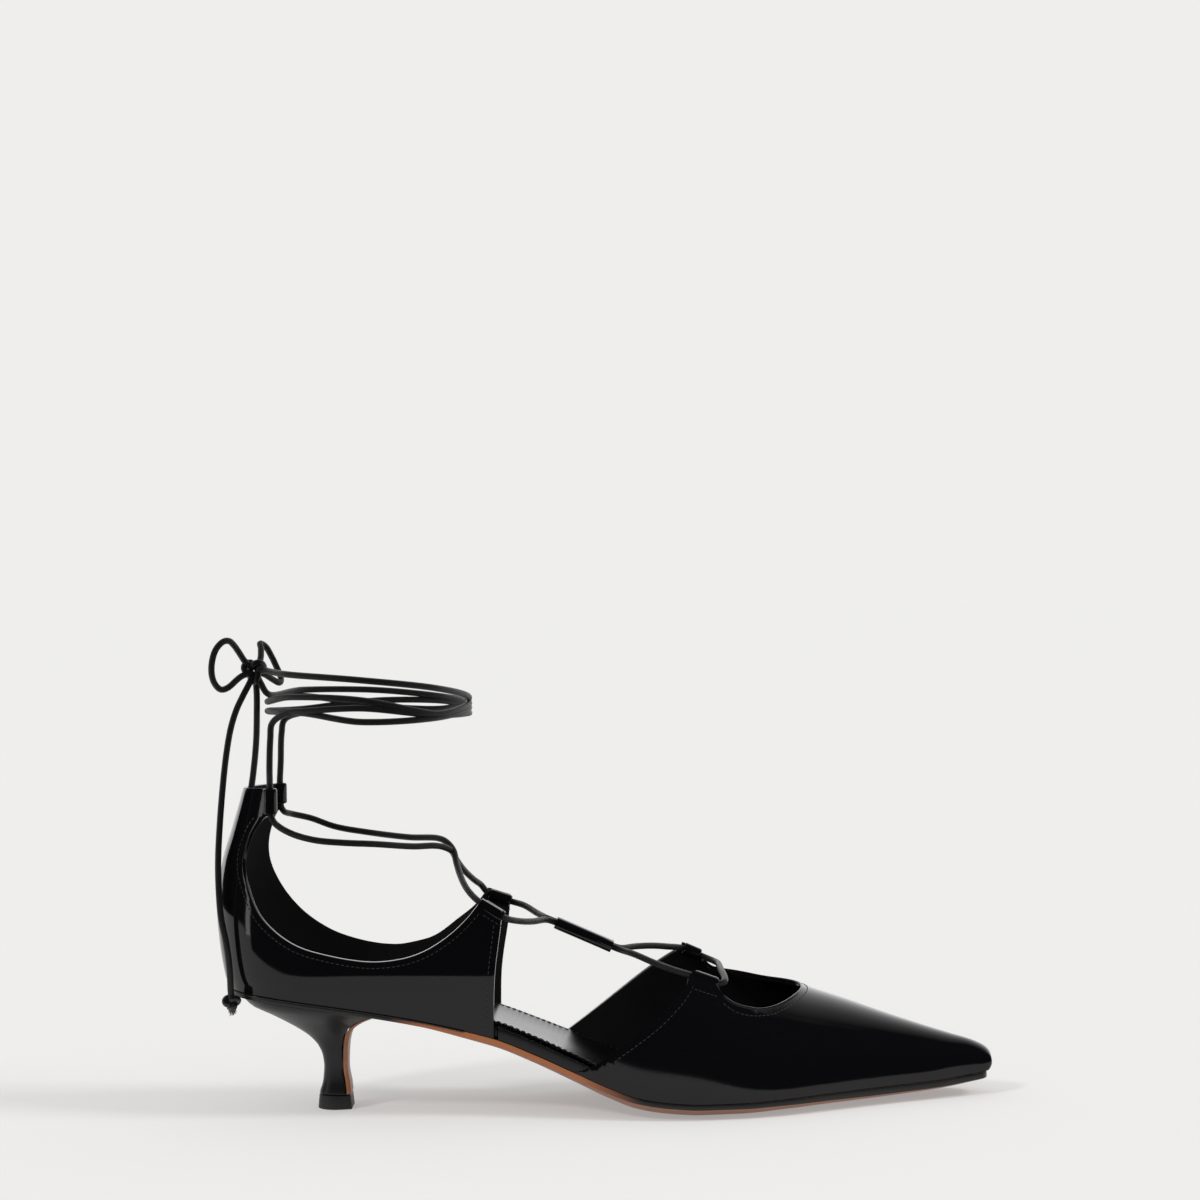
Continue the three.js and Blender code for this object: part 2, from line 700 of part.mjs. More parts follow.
const midOuter = sideTunnel(-1, tabTop.outer);
const midInner = sideTunnel(1, tabTop.inner);

// The back tunnels stand upright at the front ends of the heel tab
const backTunnelX = along(0.0755);
const backTunnelTop = seatHeight + 0.998 * counterHeight;
const backTunnelY = (side) => {
  const z = backTunnelTop - backTunnelLength.outer / 2;
  const share = (z - seatHeight) / counterHeight;
  const points = edge.map((_, i) => wallPoint(i, share, upperWall / 2));
  const own = points.filter((p) => Math.sign(p[1]) === side);
  own.sort((a, b) => Math.abs(a[0] - backTunnelX) - Math.abs(b[0] - backTunnelX));
  return own[0][1];
};
const backTunnel = (side, length) => [
  [backTunnelX, backTunnelY(side), backTunnelTop - length],
  [backTunnelX, backTunnelY(side), backTunnelTop],
];
const backOuter = backTunnel(-1, backTunnelLength.outer);
const backInner = backTunnel(1, backTunnelLength.inner);

const withTunnels = (body, tunnels) => {
  let result = body;
  for (const [from, to] of tunnels) result = result.add(rod(from, to, tunnelWidth));
  for (const [from, to] of tunnels) result = result.subtract(rod(...stretch(from, to, 3), tunnelBore));
  return result;
};
const quarterSolid = withTunnels(
  quarterWall.subtract(outerCut).subtract(innerCut).subtract(tabCut).subtract(below),
  [midOuter, midInner, backOuter, backInner],
);

// Front half of the upper

// Arch of the last. at: share of the length; top: height of the ridge above the feather edge, as a share of the
// instep height; ridge: how far the ridge lies towards the inner side, as a share of the ball width;
// round: exponent of the arch, larger is fuller; swell: side bulge, as a share of the half width
const archTable = [
  { at: 0.44, top: 1.0, ridge: 0.05, outer: 2.3, inner: 2.5, swell: 0.0 },
  { at: 0.52, top: 1.0, ridge: 0.06, outer: 2.2, inner: 2.5, swell: 0.0 },
  { at: 0.6, top: 0.92, ridge: 0.07, outer: 2.25, inner: 2.4, swell: 0.015 },
  { at: 0.66, top: 0.76, ridge: 0.08, outer: 2.08, inner: 2.3, swell: 0.02 },
  { at: 0.71, top: 0.605, ridge: 0.085, outer: 1.95, inner: 2.2, swell: 0.02 },
  { at: 0.765, top: 0.508, ridge: 0.085, outer: 1.95, inner: 2.15, swell: 0.02 },
  { at: 0.82, top: 0.425, ridge: 0.085, outer: 2.0, inner: 2.15, swell: 0.02 },
  { at: 0.87, top: 0.345, ridge: 0.08, outer: 2.1, inner: 2.2, swell: 0.02 },
  { at: 0.91, top: 0.283, ridge: 0.08, outer: 2.2, inner: 2.3, swell: 0.02 },
  { at: 0.945, top: 0.228, ridge: 0.08, outer: 2.4, inner: 2.4, swell: 0.02 },
  { at: 0.975, top: 0.178, ridge: 0.08, outer: 2.6, inner: 2.6, swell: 0.02 },
  { at: 1.0, top: 0.135, ridge: 0.08, outer: 2.8, inner: 2.8, swell: 0.02 },
];
const archColumn = Object.fromEntries(
  ['top', 'ridge', 'outer', 'inner', 'swell'].map((name) => [name, reader(archTable, name)]),
);
const archHeight = (x) => archColumn.top(shareAt(x)) * instepHeight;
const ridgeY = (x) => archColumn.ridge(shareAt(x)) * ballWidth;
const upperTipAt = along(1.004);
const tipDome = (x) => {
  const t = (x - upperTipAt + tipRound) / tipRound;
  return t > 0 ? Math.max(0, 1 - t ** 2.6) ** (1 / 2.6) : 1;
};
const archSteps = 8;

// One arch across the last, inset inwards from the outer face, from the outer side over to the inner side
function archRing(x, inset, drop) {
  const s = shareAt(x);
  const dome = tipDome(x);
  const base = featherZ(x);
  const ridge = ridgeY(x);
  const high = Math.max(0.6, archHeight(x) * (0.45 + 0.55 * dome) - inset);
  const half = Math.max(1, halfWidth(Math.min(x, soleTipAt - 0.25 * tipRound)) * (0.72 + 0.28 * dome) - inset);
  const middle = middleY(x);
  const ring = [];
  for (const side of [-1, 1]) {
    const power = 2 / (side < 0 ? archColumn.outer(s) : archColumn.inner(s));
    const reach = side * (middle - ridge) + half;
    const angles = range(archSteps + 1, 0, Math.PI / 2);
    const row = angles.map((a) => {
      const swell = 1 + archColumn.swell(s) * Math.sin(2 * a) ** 2 * (a < Math.PI / 4 ? 1 : 0.6);
      return [x, ridge + side * reach * Math.cos(a) ** power * swell, base + high * Math.sin(a) ** power];
    });
    ring.push(...(side < 0 ? row : row.reverse().slice(1)));
  }
  const low = base - drop;
  const last = ring[ring.length - 1];
  return [...ring, [x, last[1], low], [x, ring[0][1], low]];
}

const vampStations = [
  ...[0.44, 0.47, 0.5, 0.53, 0.56, 0.585, 0.61, 0.635, 0.66, 0.685, 0.71, 0.735, 0.765, 0.795, 0.83, 0.865],
  ...[0.9, 0.93, 0.955, 0.975],
].map(along);
const domeStations = [0.2, 0.5, 0.72, 0.87, 0.96, 0.995].map((t) => upperTipAt - tipRound + t * tipRound);
const outerForm = loft(
  [...vampStations, ...domeStations].map((x) => archRing(x, 0, 4)),
  inYZ,
);
const innerStations = [along(0.43), ...vampStations, ...domeStations.slice(0, 4).map((x) => x - upperWall)];
const innerForm = loft(
  innerStations.map((x) => archRing(x, upperWall, 8)),
  inYZ,
);

// Rear edge of the vamp from the sole up to the lace tab, then along the tab's top
const vampEdge = {
  outer: [
    { at: 0.46, height: 0.0 },
    { at: 0.489, height: 0.103 },
    { at: 0.523, height: 0.258 },
    { at: 0.5615, height: 0.413 },
    { at: 0.588, height: 0.53 },
    { at: 0.601, height: 0.6 },
    { at: 0.608, height: 0.66 },
    { at: 0.613, height: 0.686 },
  ],
  inner: [
    { at: 0.428, height: -0.02 },
    { at: 0.457, height: 0.116 },
    { at: 0.498, height: 0.313 },
    { at: 0.5534, height: 0.555 },
    { at: 0.5897, height: 0.672 },
    { at: 0.6, height: 0.7 },
    { at: 0.605, height: 0.736 },
  ],
};
const vampLine = (rows) =>
  rows.map(([s, h]) => [along(s), forefootEdge + (featherZ(along(s)) - forefootEdge) + h * instepHeight]);
const frontTab = { outer: [0.613, 0.686, 0.643, 0.639], inner: [0.605, 0.736, 0.6286, 0.696] };
const openTop = 3;
function vampCut(rows, tab) {
  const edgeLine = smoothLine(vampLine(rows.map((row) => [row.at, row.height])), 14);
  const [p, q] = vampLine([
    [tab[0], tab[1]],
    [tab[2], tab[3]],
  ]);
  return [
    [along(0.4), -seatHeight],
    [edgeLine[0][0], -seatHeight],
    ...edgeLine.slice(0, -1),
    p,
    q,
    [q[0], openTop * instepHeight],
    [along(0.4), openTop * instepHeight],
  ];
}
const vampOuterCut = sidePrism(vampCut(vampEdge.outer, frontTab.outer), -ballWidth, 0.02 * ballWidth);
const vampInnerCut = sidePrism(vampCut(vampEdge.inner, frontTab.inner), 0.02 * ballWidth, ballWidth);

// The throat, seen from above: a U open towards the instep, y as shares of the ball width
const throatEdge = {
  outer: [
    { at: 0.6435, y: -0.31 },
    { at: 0.651, y: -0.36 },
    { at: 0.66, y: -0.363 },
    { at: 0.676, y: -0.335 },
    { at: 0.6945, y: -0.3 },
    { at: 0.711, y: -0.256 },
    { at: 0.73, y: -0.19 },
    { at: 0.7465, y: -0.1 },
    { at: 0.757, y: -0.01 },
  ],
  inner: [
    { at: 0.6285, y: 0.33 },
    { at: 0.636, y: 0.375 },
    { at: 0.6445, y: 0.372 },
    { at: 0.674, y: 0.335 },
    { at: 0.6975, y: 0.297 },
    { at: 0.721, y: 0.25 },
    { at: 0.737, y: 0.2 },
    { at: 0.7515, y: 0.14 },
    { at: 0.759, y: 0.07 },
  ],
};
const throatLine = (rows) => smoothLine(rows.map((row) => [along(row.at), row.y * ballWidth]), 20);
const throatOuter = throatLine(throatEdge.outer);
const throatInner = throatLine(throatEdge.inner);
const throatBack = [along(0.6265), 0.01 * ballWidth];
const throatCut = planPrism(
  [throatBack, ...throatOuter, ...throatInner.reverse()],
  forefootEdge + 6,
  openTop * instepHeight,
);

// A front tunnel along the tab's top edge, inside the arch
const archFace = (side, x, z) => {
  const s = shareAt(x);
  const power = side < 0 ? archColumn.outer(s) : archColumn.inner(s);
  const rise = Math.min(0.999, (z - featherZ(x)) / archHeight(x));
  const reach = side * (middleY(x) - ridgeY(x)) + halfWidth(x);
  return ridgeY(x) + side * reach * (1 - rise ** power) ** (1 / power);
};
function frontTunnel(side, tab) {
  const [[x0, z0], [x1, z1]] = vampLine([
    [tab[0], tab[1]],
    [tab[2], tab[3]],
  ]);
  const sink = tunnelWidth / 2 + 0.35;
  return [
    [x0 + 0.3, archFace(side, x0, z0 - foldDrop) - side * sink, z0 - foldDrop],
    [x1 - 0.1, archFace(side, x1, z1 - foldDrop) - side * sink, z1 - foldDrop],
  ];
}
const frontOuter = frontTunnel(-1, frontTab.outer);
const frontInner = frontTunnel(1, frontTab.inner);
const vampSolid = withTunnels(
  outerForm.subtract(innerForm).subtract(vampOuterCut).subtract(vampInnerCut).subtract(throatCut).subtract(below),
  [frontOuter, frontInner],
);

// Laces. A cord ends just short of the tunnel mouth that it goes into.
const mouthGap = 0.45;
const mouth = (tunnel, end) => stretch(...tunnel, mouthGap)[end];
const rearEnd = 0;
const foreEnd = 1;
const bottom = 0;
const top = 1;

const bridgeSolid = lace([
  mouth(frontInner, foreEnd),
  [129.6, 22.6, 44.9],
  [131.2, 19, 44.5],
  [131.6, 8, 44.9],
  [131.8, -6, 44.9],
  [132.4, -17, 43.9],
  [131.9, -21.5, 43.1],
  mouth(frontOuter, foreEnd),
]);

// Where both cords run side by side through the keeper
const keeperFront = [94.8, 0, 53.2];
const keeperRear = [75.9, 0, 61.7];
const pairGap = 0.96 * laceWidth;
const beside = (point, side, by = pairGap / 2) => [point[0], point[1] + side * by, point[2]];
const foreOuter = [
  mouth(frontOuter, rearEnd),
  [115, -20.6, 47.4],
  [108.8, -15, 49.2],
  [102, -8, 51.4],
  beside([97.4, 0, 52.2], -1, 1.9),
  beside(keeperFront, -1),
  beside([90.5, 0, 55.1], -1),
  beside([80.2, 0, 59.8], -1),
  beside(keeperRear, -1),
  beside([73.2, 0, 62.7], -1, 1.9),
  [68, -12, 63.4],
  [63.4, -20, 64.6],
  mouth(midOuter, foreEnd),
];
const foreInner = [
  mouth(frontInner, rearEnd),
  [114, 20, 50.2],
  [109, 15, 51.2],
  [102.6, 8.2, 51.9],
  beside([97.6, 0, 52.2], 1, 1.9),
  beside(keeperFront, 1),
  beside([90.5, 0, 55.1], 1),
  beside([80.2, 0, 59.8], 1),
  beside(keeperRear, 1),
  beside([73.2, 0, 62.7], 1, 1.9),
  [69.5, 10, 63.6],
  [64.4, 19, 65.6],
  mouth(midInner, foreEnd),
];
const foreSolid = lace(foreOuter).add(lace(foreInner));

const rearOuter = [
  mouth(midOuter, rearEnd),
  [48.6, -21.6, 73.4],
  [46.2, -17, 75.8],
  [44, -10, 79.2],
  [42.4, -4, 83.1],
  [41.2, 0, 87],
  [37.4, 4, 90.2],
  [25, 13.5, 90.4],
  [10.7, 21, 91.7],
  [-1.3, 23, 93.8],
  [-9.4, 21.5, 97],
  [-15.6, 18.6, 98.8],
  [backInner[0][0] + 0.9, backInner[0][1] - 0.1, backInner[0][2] - 2.6],
  mouth(backInner, bottom),
];
const rearInner = [
  mouth(midInner, rearEnd),
  [49.6, 22, 72.6],
  [47.6, 18, 74.6],
  [44.4, 10.6, 78.8],
  [42, 4, 83.3],
  [40.6, -0.6, 86.8],
  [36.4, -5, 88.8],
  [28.3, -12, 89.4],
  [16.1, -21, 91.2],
  [6.7, -24, 92],
  [-3, -24, 93],
  [-10.5, -21.6, 94.8],
  [-15.4, -19, 97],
  [backOuter[0][0] + 0.7, backOuter[0][1], backOuter[0][2] - 2],
  mouth(backOuter, bottom),
];
const rearSolid = lace(rearOuter).add(lace(rearInner));

// The keeper is a flat sleeve round both cords
function sleeveRing(share, width, thickness) {
  const [a, b] = [new THREE.Vector3(...keeperFront), new THREE.Vector3(...keeperRear)];
  const run = b.clone().sub(a).normalize();
  const up = new THREE.Vector3(0, 1, 0).cross(run).normalize();
  const middle = a.clone().add(b).multiplyScalar(0.5).addScaledVector(run, share * keeperLength);
  const corner = Math.min(width, thickness) * 0.32;
  const ring = [];
  for (const [sy, sz] of [[1, 1], [-1, 1], [-1, -1], [1, -1]]) {
    for (const [cy, cz] of sy * sz > 0 ? [[0, 1], [1, 0]] : [[1, 0], [0, 1]]) {
      const y = sy * (width / 2 - cy * corner);
      const z = sz * (thickness / 2 - cz * corner);
      const p = middle.clone().addScaledVector(up, z);
      ring.push([p.x, p.y + y, p.z]);
    }
  }
  return ring;
}
const keeperBoreWidth = 2 * laceWidth + 7 * seam;
const keeperBoreHeight = laceWidth + 3.4 * seam;
const sleeve = (width, thickness, reach) =>
  loft([-reach, -reach / 2, 0, reach / 2, reach].map((t) => sleeveRing(t, width, thickness)), inXY);
const keeperSolid = sleeve(keeperWidth, keeperThickness, 0.5).subtract(
  sleeve(keeperBoreWidth, keeperBoreHeight, 0.6),
);

// Turns round the ankle. Each row is a half turn on one side, with the height of the cord at five places
// from the start of the half turn to its end.
const turnsOuter = [
  { side: -1, toFront: true, heights: [135.0, 135.4, 132.4, 133.0, 135.4] },
  { side: 1, toFront: false, heights: [135.4, 137.1, 137.3, 135.2, 135.5] },
  { side: -1, toFront: true, heights: [135.5, 135.8, 136.9, 134.2, 136.9] },
  { side: 1, toFront: false, heights: [136.9, 138.6, 141.0, 141.8, 141.2] },
];
const turnsInner = [
  { side: 1, toFront: true, heights: [135.3, 133.9, 134.8, 132.7, 133.6] },
  { side: -1, toFront: false, heights: [133.6, 134.2, 139.6, 140.7, 138.6] },
  { side: 1, toFront: true, heights: [138.6, 139.6, 135.5, 134.4, 138.9] },
  { side: -1, toFront: false, heights: [138.9, 142.9, 146.2, 148.2, 148.6] },
];
const turnPoints = (rows) =>
  rows.flatMap(({ side, toFront, heights }, row) =>
    heights.slice(row === 0 ? 1 : 0, -1).map((height, i) => {
      const step = (i + (row === 0 ? 1 : 0)) / 4;
      const turn = Math.PI * (toFront ? 1 - step : step);
      const x = ankleMiddle + (ankleLength / 2) * Math.cos(turn);
      return [x, side * (ankleWidth / 2) * Math.sin(turn), height];
    }),
  );
const wrapOuter = [
  mouth(backOuter, top),
  [-18.9, -17.3, 117],
  [-18.4, -17.6, 127],
  [-17.6, -18.2, 132],
  ...turnPoints(turnsOuter),
  [-21.3, 0, 141.4],
  [-23.2, -0.5, 144.6],
];
const wrapInner = [
  mouth(backInner, top),
  [-19.1, 17.3, 117],
  [-18.6, 17.2, 127],
  [-17.6, 18, 131.6],
  ...turnPoints(turnsInner),
  [-17.6, -12.8, 148.9],
  [-21.9, -2.8, 149.4],
];
const wrapSolid = lace(wrapOuter, longStep).add(lace(wrapInner, longStep));

// Knots are round lumps
function knot(centre, size) {
  const geometry = new THREE.SphereGeometry(0.5, 10, 8);
  geometry.scale(...size);
  geometry.translate(...centre);
  return toManifold(geometry);
}
const bowKnotSolid = knot([-25.7, 0, 149.3], [8.4, 8.2, 9.4]);
const endKnot = (centre) => knot(centre, [endKnotWidth, endKnotWidth, endKnotWidth]);

const loopOuterSolid = lace([
  [-28.6, -2, 152.7],
  [-30.3, -3.8, 155.8],
  [-31.8, -5.5, 158.3],
  [-33.1, -7, 159.6],
  [-34.9, -8.5, 159.4],
  [-37.2, -10, 156.8],
  [-38.5, -10.5, 152.6],
  [-38.7, -10, 148.3],
  [-37.8, -9, 145.1],
  [-36, -7.5, 143.2],
  [-33.8, -6, 143.8],
  [-31.2, -3.8, 146.2],
  [-29.6, -2.3, 147.5],
]);
const loopInnerSolid = lace([
  [-23.8, 2.7, 152.9],
  [-23.9, 6, 156.6],
  [-24.4, 8.4, 158.4],
  [-22.8, 10, 157.3],
  [-20.8, 10.5, 153.7],
  [-19.2, 10.5, 150.2],
  [-17.7, 10, 146.4],
  [-17.9, 7.8, 144.8],
  [-20, 5.6, 146],
  [-22.3, 3.1, 147.8],
]);

const tailOuterSolid = lace([
  [-27.3, -1.4, 144.7],
  [-29.2, -2.4, 141],
  [-31.4, -3.6, 136.2],
  [-33.2, -5, 130.2],
  [-34.6, -6.6, 122],
  [-35.8, -8.4, 111],
  [-36.8, -10.4, 98],
  [-37.3, -12.4, 86],
  [-37, -14.4, 76],
  [-36.2, -15.9, 67],
  [-34.4, -17, 58],
  [-33.5, -17, 50],
  [-33.2, -17, 42.1],
]);
const tailOuterKnot = endKnot([-33, -17, 38.6]);
const tailInnerSolid = lace([
  [-25.2, 1.2, 144.4],
  [-25.2, 1.6, 133],
  [-25.5, 1.2, 125],
  [-26.4, 0.8, 116],
  [-27.4, 0.4, 109],
  [-29.6, 0, 98],
  [-32.4, 0, 86],
  [-34.2, 0, 74],
  [-34.4, 0, 62],
  [-32.6, 0, 54],
  [-28.4, 0, 50.2],
  [-26.2, 0, 50],
]);
const tailInnerKnot = endKnot([-22.6, 0, 50.2]);

const solids = [
  ['upper_vamp', vampSolid, blackLeather],
  ['upper_quarter', quarterSolid, blackLeather],
  ['insole_board', boardSolid, blackLeather],
  ['sock_liner', sockSolid, sockLeather],
  ['outsole', outsoleSolid, soleLeather],
  ['heel', heelSolid, heelCover],
  ['top_lift', liftSolid, liftRubber],
  ['lace_keeper', keeperSolid, blackLeather],
  ['lace_front_bridge', bridgeSolid, laceCord],
  ['lace_fore', foreSolid, laceCord],
  ['lace_rear', rearSolid, laceCord],
  ['ankle_wrap', wrapSolid, laceCord],
  ['bow_knot', bowKnotSolid, laceCord],
  ['bow_loop_outer', loopOuterSolid, laceCord],
  ['bow_loop_inner', loopInnerSolid, laceCord],
  ['lace_end_outer', tailOuterSolid, laceCord],
  ['end_knot_outer', tailOuterKnot, laceCord],
  ['lace_end_inner', tailInnerSolid, laceCord],
  ['end_knot_inner', tailInnerKnot, laceCord],
];

const shoe = new THREE.Group();
for (const [name, solid, material] of solids) {
  const mesh = new THREE.Mesh(toGeometry(solid), material);
  mesh.name = name;
  shoe.add(mesh);
}

export default shoe;
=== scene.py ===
import math

import bmesh
import bpy
import numpy as np
from mathutils import Matrix, Vector, geometry


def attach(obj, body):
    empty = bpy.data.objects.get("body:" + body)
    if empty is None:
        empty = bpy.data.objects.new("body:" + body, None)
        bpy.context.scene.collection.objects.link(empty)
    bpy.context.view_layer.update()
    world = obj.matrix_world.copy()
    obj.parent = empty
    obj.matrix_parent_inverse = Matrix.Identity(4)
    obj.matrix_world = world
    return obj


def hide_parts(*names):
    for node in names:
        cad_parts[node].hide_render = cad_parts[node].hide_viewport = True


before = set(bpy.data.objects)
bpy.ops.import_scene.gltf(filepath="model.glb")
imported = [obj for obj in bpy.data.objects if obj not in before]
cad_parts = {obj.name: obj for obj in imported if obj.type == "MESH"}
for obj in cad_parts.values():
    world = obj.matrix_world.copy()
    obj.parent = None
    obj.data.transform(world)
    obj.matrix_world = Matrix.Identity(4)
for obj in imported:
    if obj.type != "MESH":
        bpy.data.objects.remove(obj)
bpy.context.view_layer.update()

# Everything below is in millimetres in the part's frame until it becomes a mesh.
MM = 0.001

# Sizes of the part's source
LENGTH, BALL, SEAT, TOE = 262, 80, 51, 15
SEAT_HEIGHT, INSTEP, COUNTER, TIP_AT = 42, 62, 68, 39
WALL, SOLE_EDGE, SOLE_BELLY, PRESS = 1.5, 2.4, 2.0, 1.2
BOARD, SOCK, SEAM = 4.2, 1.0, 0.3
LIFT = {"height": 4.8, "length": 10.8, "width": 12.5}
NECK = {"length": 8.4, "width": 10.4}
FLAP = 1.4
LACE, BORE, TUNNEL_WALL = 2.2, 3.0, 0.9
TUNNEL = BORE + 2 * TUNNEL_WALL
SIDES = ((-1, "outer"), (1, "inner"))


# ---- camera, surround and lamps

PAPER = (0.863, 0.855, 0.838)
# The view: the lens in pixels of a frame that is 1200 wide, and the eye's place beside the shoe
FOCAL, VIEW, FILM = 2784, 1200, 36
EYE, TURNED = (92.8, -950, 171.3), -1


def camera_and_studio():
    """A level camera beside the shoe, turned one degree, in an even pale surround."""
    data = bpy.data.cameras.new("camera")
    data.sensor_width, data.lens = FILM, FOCAL / VIEW * FILM
    data.clip_start, data.clip_end = 0.01, 50
    camera = bpy.data.objects.new("camera", data)
    camera.matrix_world = (
        Matrix.Translation(Vector(EYE) * MM)
        @ Matrix.Rotation(math.radians(90), 4, "X")
        @ Matrix.Rotation(math.radians(TURNED), 4, "Z")
    )
    bpy.context.collection.objects.link(camera)
    bpy.context.scene.camera = camera
    bpy.context.scene.view_settings.view_transform = "Standard"

    world = bpy.data.worlds.new("studio")
    world.use_nodes = True
    world.node_tree.nodes["Background"].inputs["Color"].default_value = (*PAPER, 1)
    world.node_tree.nodes["Background"].inputs["Strength"].default_value = 1.0
    world.cycles_visibility.glossy = False
    bpy.context.scene.world = world


def lamp(name, kind, look, **settings):
    """A lamp that shines along look."""
    data = bpy.data.lights.new(name, kind)
    for key, value in settings.items():
        setattr(data, key, value)
    made = bpy.data.objects.new(name, data)
    made.rotation_euler = Vector(look).to_track_quat("-Z", "Y").to_euler()
    bpy.context.collection.objects.link(made)
    return made


# ---- tables of the part's source

def reader(*rows):
    """Smooth reading of value against place, with no overshoot."""
    at, value = [r[0] for r in rows], [r[1] for r in rows]
    last = len(at) - 1
    slope = [(value[i + 1] - value[i]) / (at[i + 1] - at[i]) for i in range(last)]
    tangent = [slope[0]]
    for i in range(1, last):
        product = slope[i - 1] * slope[i]
        tangent.append(0 if product <= 0 else 2 * product / (slope[i - 1] + slope[i]))
    tangent.append(slope[-1])

    def read(s):
        if s <= at[0]:
            return value[0]
        if s >= at[last]:
            return value[last]
        i = max(k for k in range(last) if s >= at[k])
        span = at[i + 1] - at[i]
        t = (s - at[i]) / span
        return (
            value[i] * (1 + 2 * t) * (1 - t) ** 2
            + value[i + 1] * t * t * (3 - 2 * t)
            + span * tangent[i] * t * (1 - t) ** 2
            + span * tangent[i + 1] * t * t * (t - 1)
        )

    return read


def columns(*rows):
    """Readers for each column of a table whose first column is the place."""
    return [reader(*[(row[0], row[k]) for row in rows]) for k in range(1, len(rows[0]))]


def along(share):
    return share * LENGTH - TIP_AT


def share_at(x):
    return (x + TIP_AT) / LENGTH


def smoothstep(s, low, high):
    t = min(1, max(0, (s - low) / (high - low)))
    return t * t * (3 - 2 * t)


def bisected(low, high, rounds, too_low):
    """The place between low and high up to which too_low holds."""
    for _ in range(rounds):
        at = (low + high) / 2
        if too_low(at):
            low = at
        else:
            high = at
    return at


# place along the sole, middle, half width, drop and cup
sole_middle, sole_half, sole_drop, sole_cup = columns(
    (0.0, 0.0, 0.31, 1.0, 0.0),
    (0.08, 0.0, 0.318, 0.945, 0.004),
    (0.15, 0.002, 0.32, 0.875, 0.006),
    (0.24, 0.0, 0.315, 0.765, 0.006),
    (0.3, -0.006, 0.305, 0.672, 0.006),
    (0.36, -0.014, 0.302, 0.56, 0.006),
    (0.41, -0.022, 0.318, 0.422, 0.008),
    (0.46, -0.03, 0.35, 0.27, 0.014),
    (0.5, -0.033, 0.388, 0.15, 0.02),
    (0.54, -0.03, 0.426, 0.055, 0.025),
    (0.58, -0.02, 0.458, 0.015, 0.026),
    (0.62, -0.008, 0.478, 0.0, 0.026),
    (0.67, 0.008, 0.476, 0.0, 0.024),
    (0.73, 0.028, 0.436, 0.01, 0.016),
    (0.79, 0.046, 0.356, 0.02, 0.01),
    (0.85, 0.06, 0.266, 0.024, 0.006),
    (0.9, 0.07, 0.2, 0.03, 0.004),
    (0.95, 0.076, 0.143, 0.045, 0.002),
    (1.0, 0.08, 0.1, 0.085, 0.0),
)
FOREFOOT = SOLE_EDGE + SOLE_BELLY + 0.026 * BALL - PRESS
SEAT_BACK, SEAT_ROUND = along(0.0118), 0.13 * LENGTH
SOLE_TIP, TIP_ROUND = along(0.998), 0.02 * LENGTH
SEAT_CURVE, TIP_CURVE = (2.2, 0.51), 3.2


def feather(x):
    return FOREFOOT + (SEAT_HEIGHT - FOREFOOT) * sole_drop(share_at(x))


def hang(x):
    return sole_cup(share_at(x)) * BALL


def middle(x):
    return sole_middle(share_at(x)) * BALL


def half_width(x, inset=0.0):
    s = share_at(x)
    blend, toe = smoothstep(s, 0.3, 0.5), smoothstep(s, 0.93, 1.0)
    half = (1 - blend) * sole_half(s) / 0.32 * SEAT / 2 + blend * sole_half(s) * BALL
    half = (1 - toe) * half + toe * TOE / 2 - inset
    back = (SEAT_BACK + SEAT_ROUND - x) / (SEAT_ROUND - inset)
    if back > 0:
        half *= max(0.0, 1 - back ** SEAT_CURVE[0]) ** SEAT_CURVE[1]
    tip = (x - SOLE_TIP + TIP_ROUND) / (TIP_ROUND - inset)
    if tip > 0:
        half *= max(0.0, 1 - tip ** TIP_CURVE) ** (1 / TIP_CURVE)
    return max(half, 0.05)


# ---- paths

def spaced(points, pitch):
    """A polyline read again at even steps of about pitch, with both of its ends kept."""
    points = np.array(points, float)
    run = np.concatenate([[0], np.cumsum(np.linalg.norm(np.diff(points, axis=0), axis=1))])
    steps = np.linspace(0, run[-1], max(2, int(round(run[-1] / pitch)) + 1))
    return np.stack([np.interp(steps, run, points[:, k]) for k in range(points.shape[1])], axis=1)


def hermite(b, c, m1, m2, t):
    """The point at share t of the curve from b to c with these tangents."""
    return (
        (2 * t ** 3 - 3 * t ** 2 + 1) * b + (t ** 3 - 2 * t ** 2 + t) * m1
        + (3 * t ** 2 - 2 * t ** 3) * c + (t ** 3 - t ** 2) * m2
    )


def through(points, pitch=0.8):
    """A smooth path through listed points: the same centripetal curve as in the part's source."""
    p = [np.array(q, float) for q in points]
    p = [2 * p[0] - p[1], *p, 2 * p[-1] - p[-2]]
    out = []
    for a, b, c, d in zip(p, p[1:], p[2:], p[3:]):
        da, db, dc = (max(1e-4, np.linalg.norm(v)) ** 0.5 for v in (b - a, c - b, d - c))
        m1 = ((b - a) / da - (c - a) / (da + db) + (c - b) / db) * db
        m2 = ((c - b) / db - (d - b) / (db + dc) + (d - c) / dc) * db
        out += [hermite(b, c, m1, m2, t) for t in np.linspace(0, 1, 16, endpoint=False)]
    return spaced([*out, p[-2]], pitch)


def smooth_line(points, count=60):
    """A smooth flat line through given points."""
    p = [np.array(q, float) for q in points]
    p = [p[0], *p, p[-1]]
    out = []
    for a, b, c, d in zip(p, p[1:], p[2:], p[3:]):
        out += [hermite(b, c, (c - a) / 2, (d - b) / 2, t) for t in np.linspace(0, 1, 8, endpoint=False)]
    out.append(p[-1])
    return spaced(out, path_length(out) / count)


def eased(path, rounds=6):
    """A path with its small corners rounded off and its ends kept."""
    path = np.array(path, float)
    for _ in range(rounds):
        path[1:-1] = 0.25 * path[:-2] + 0.5 * path[1:-1] + 0.25 * path[2:]
    return path


def path_length(path):
    return float(np.sum(np.linalg.norm(np.diff(path, axis=0), axis=1)))


# ---- surfaces of the upper

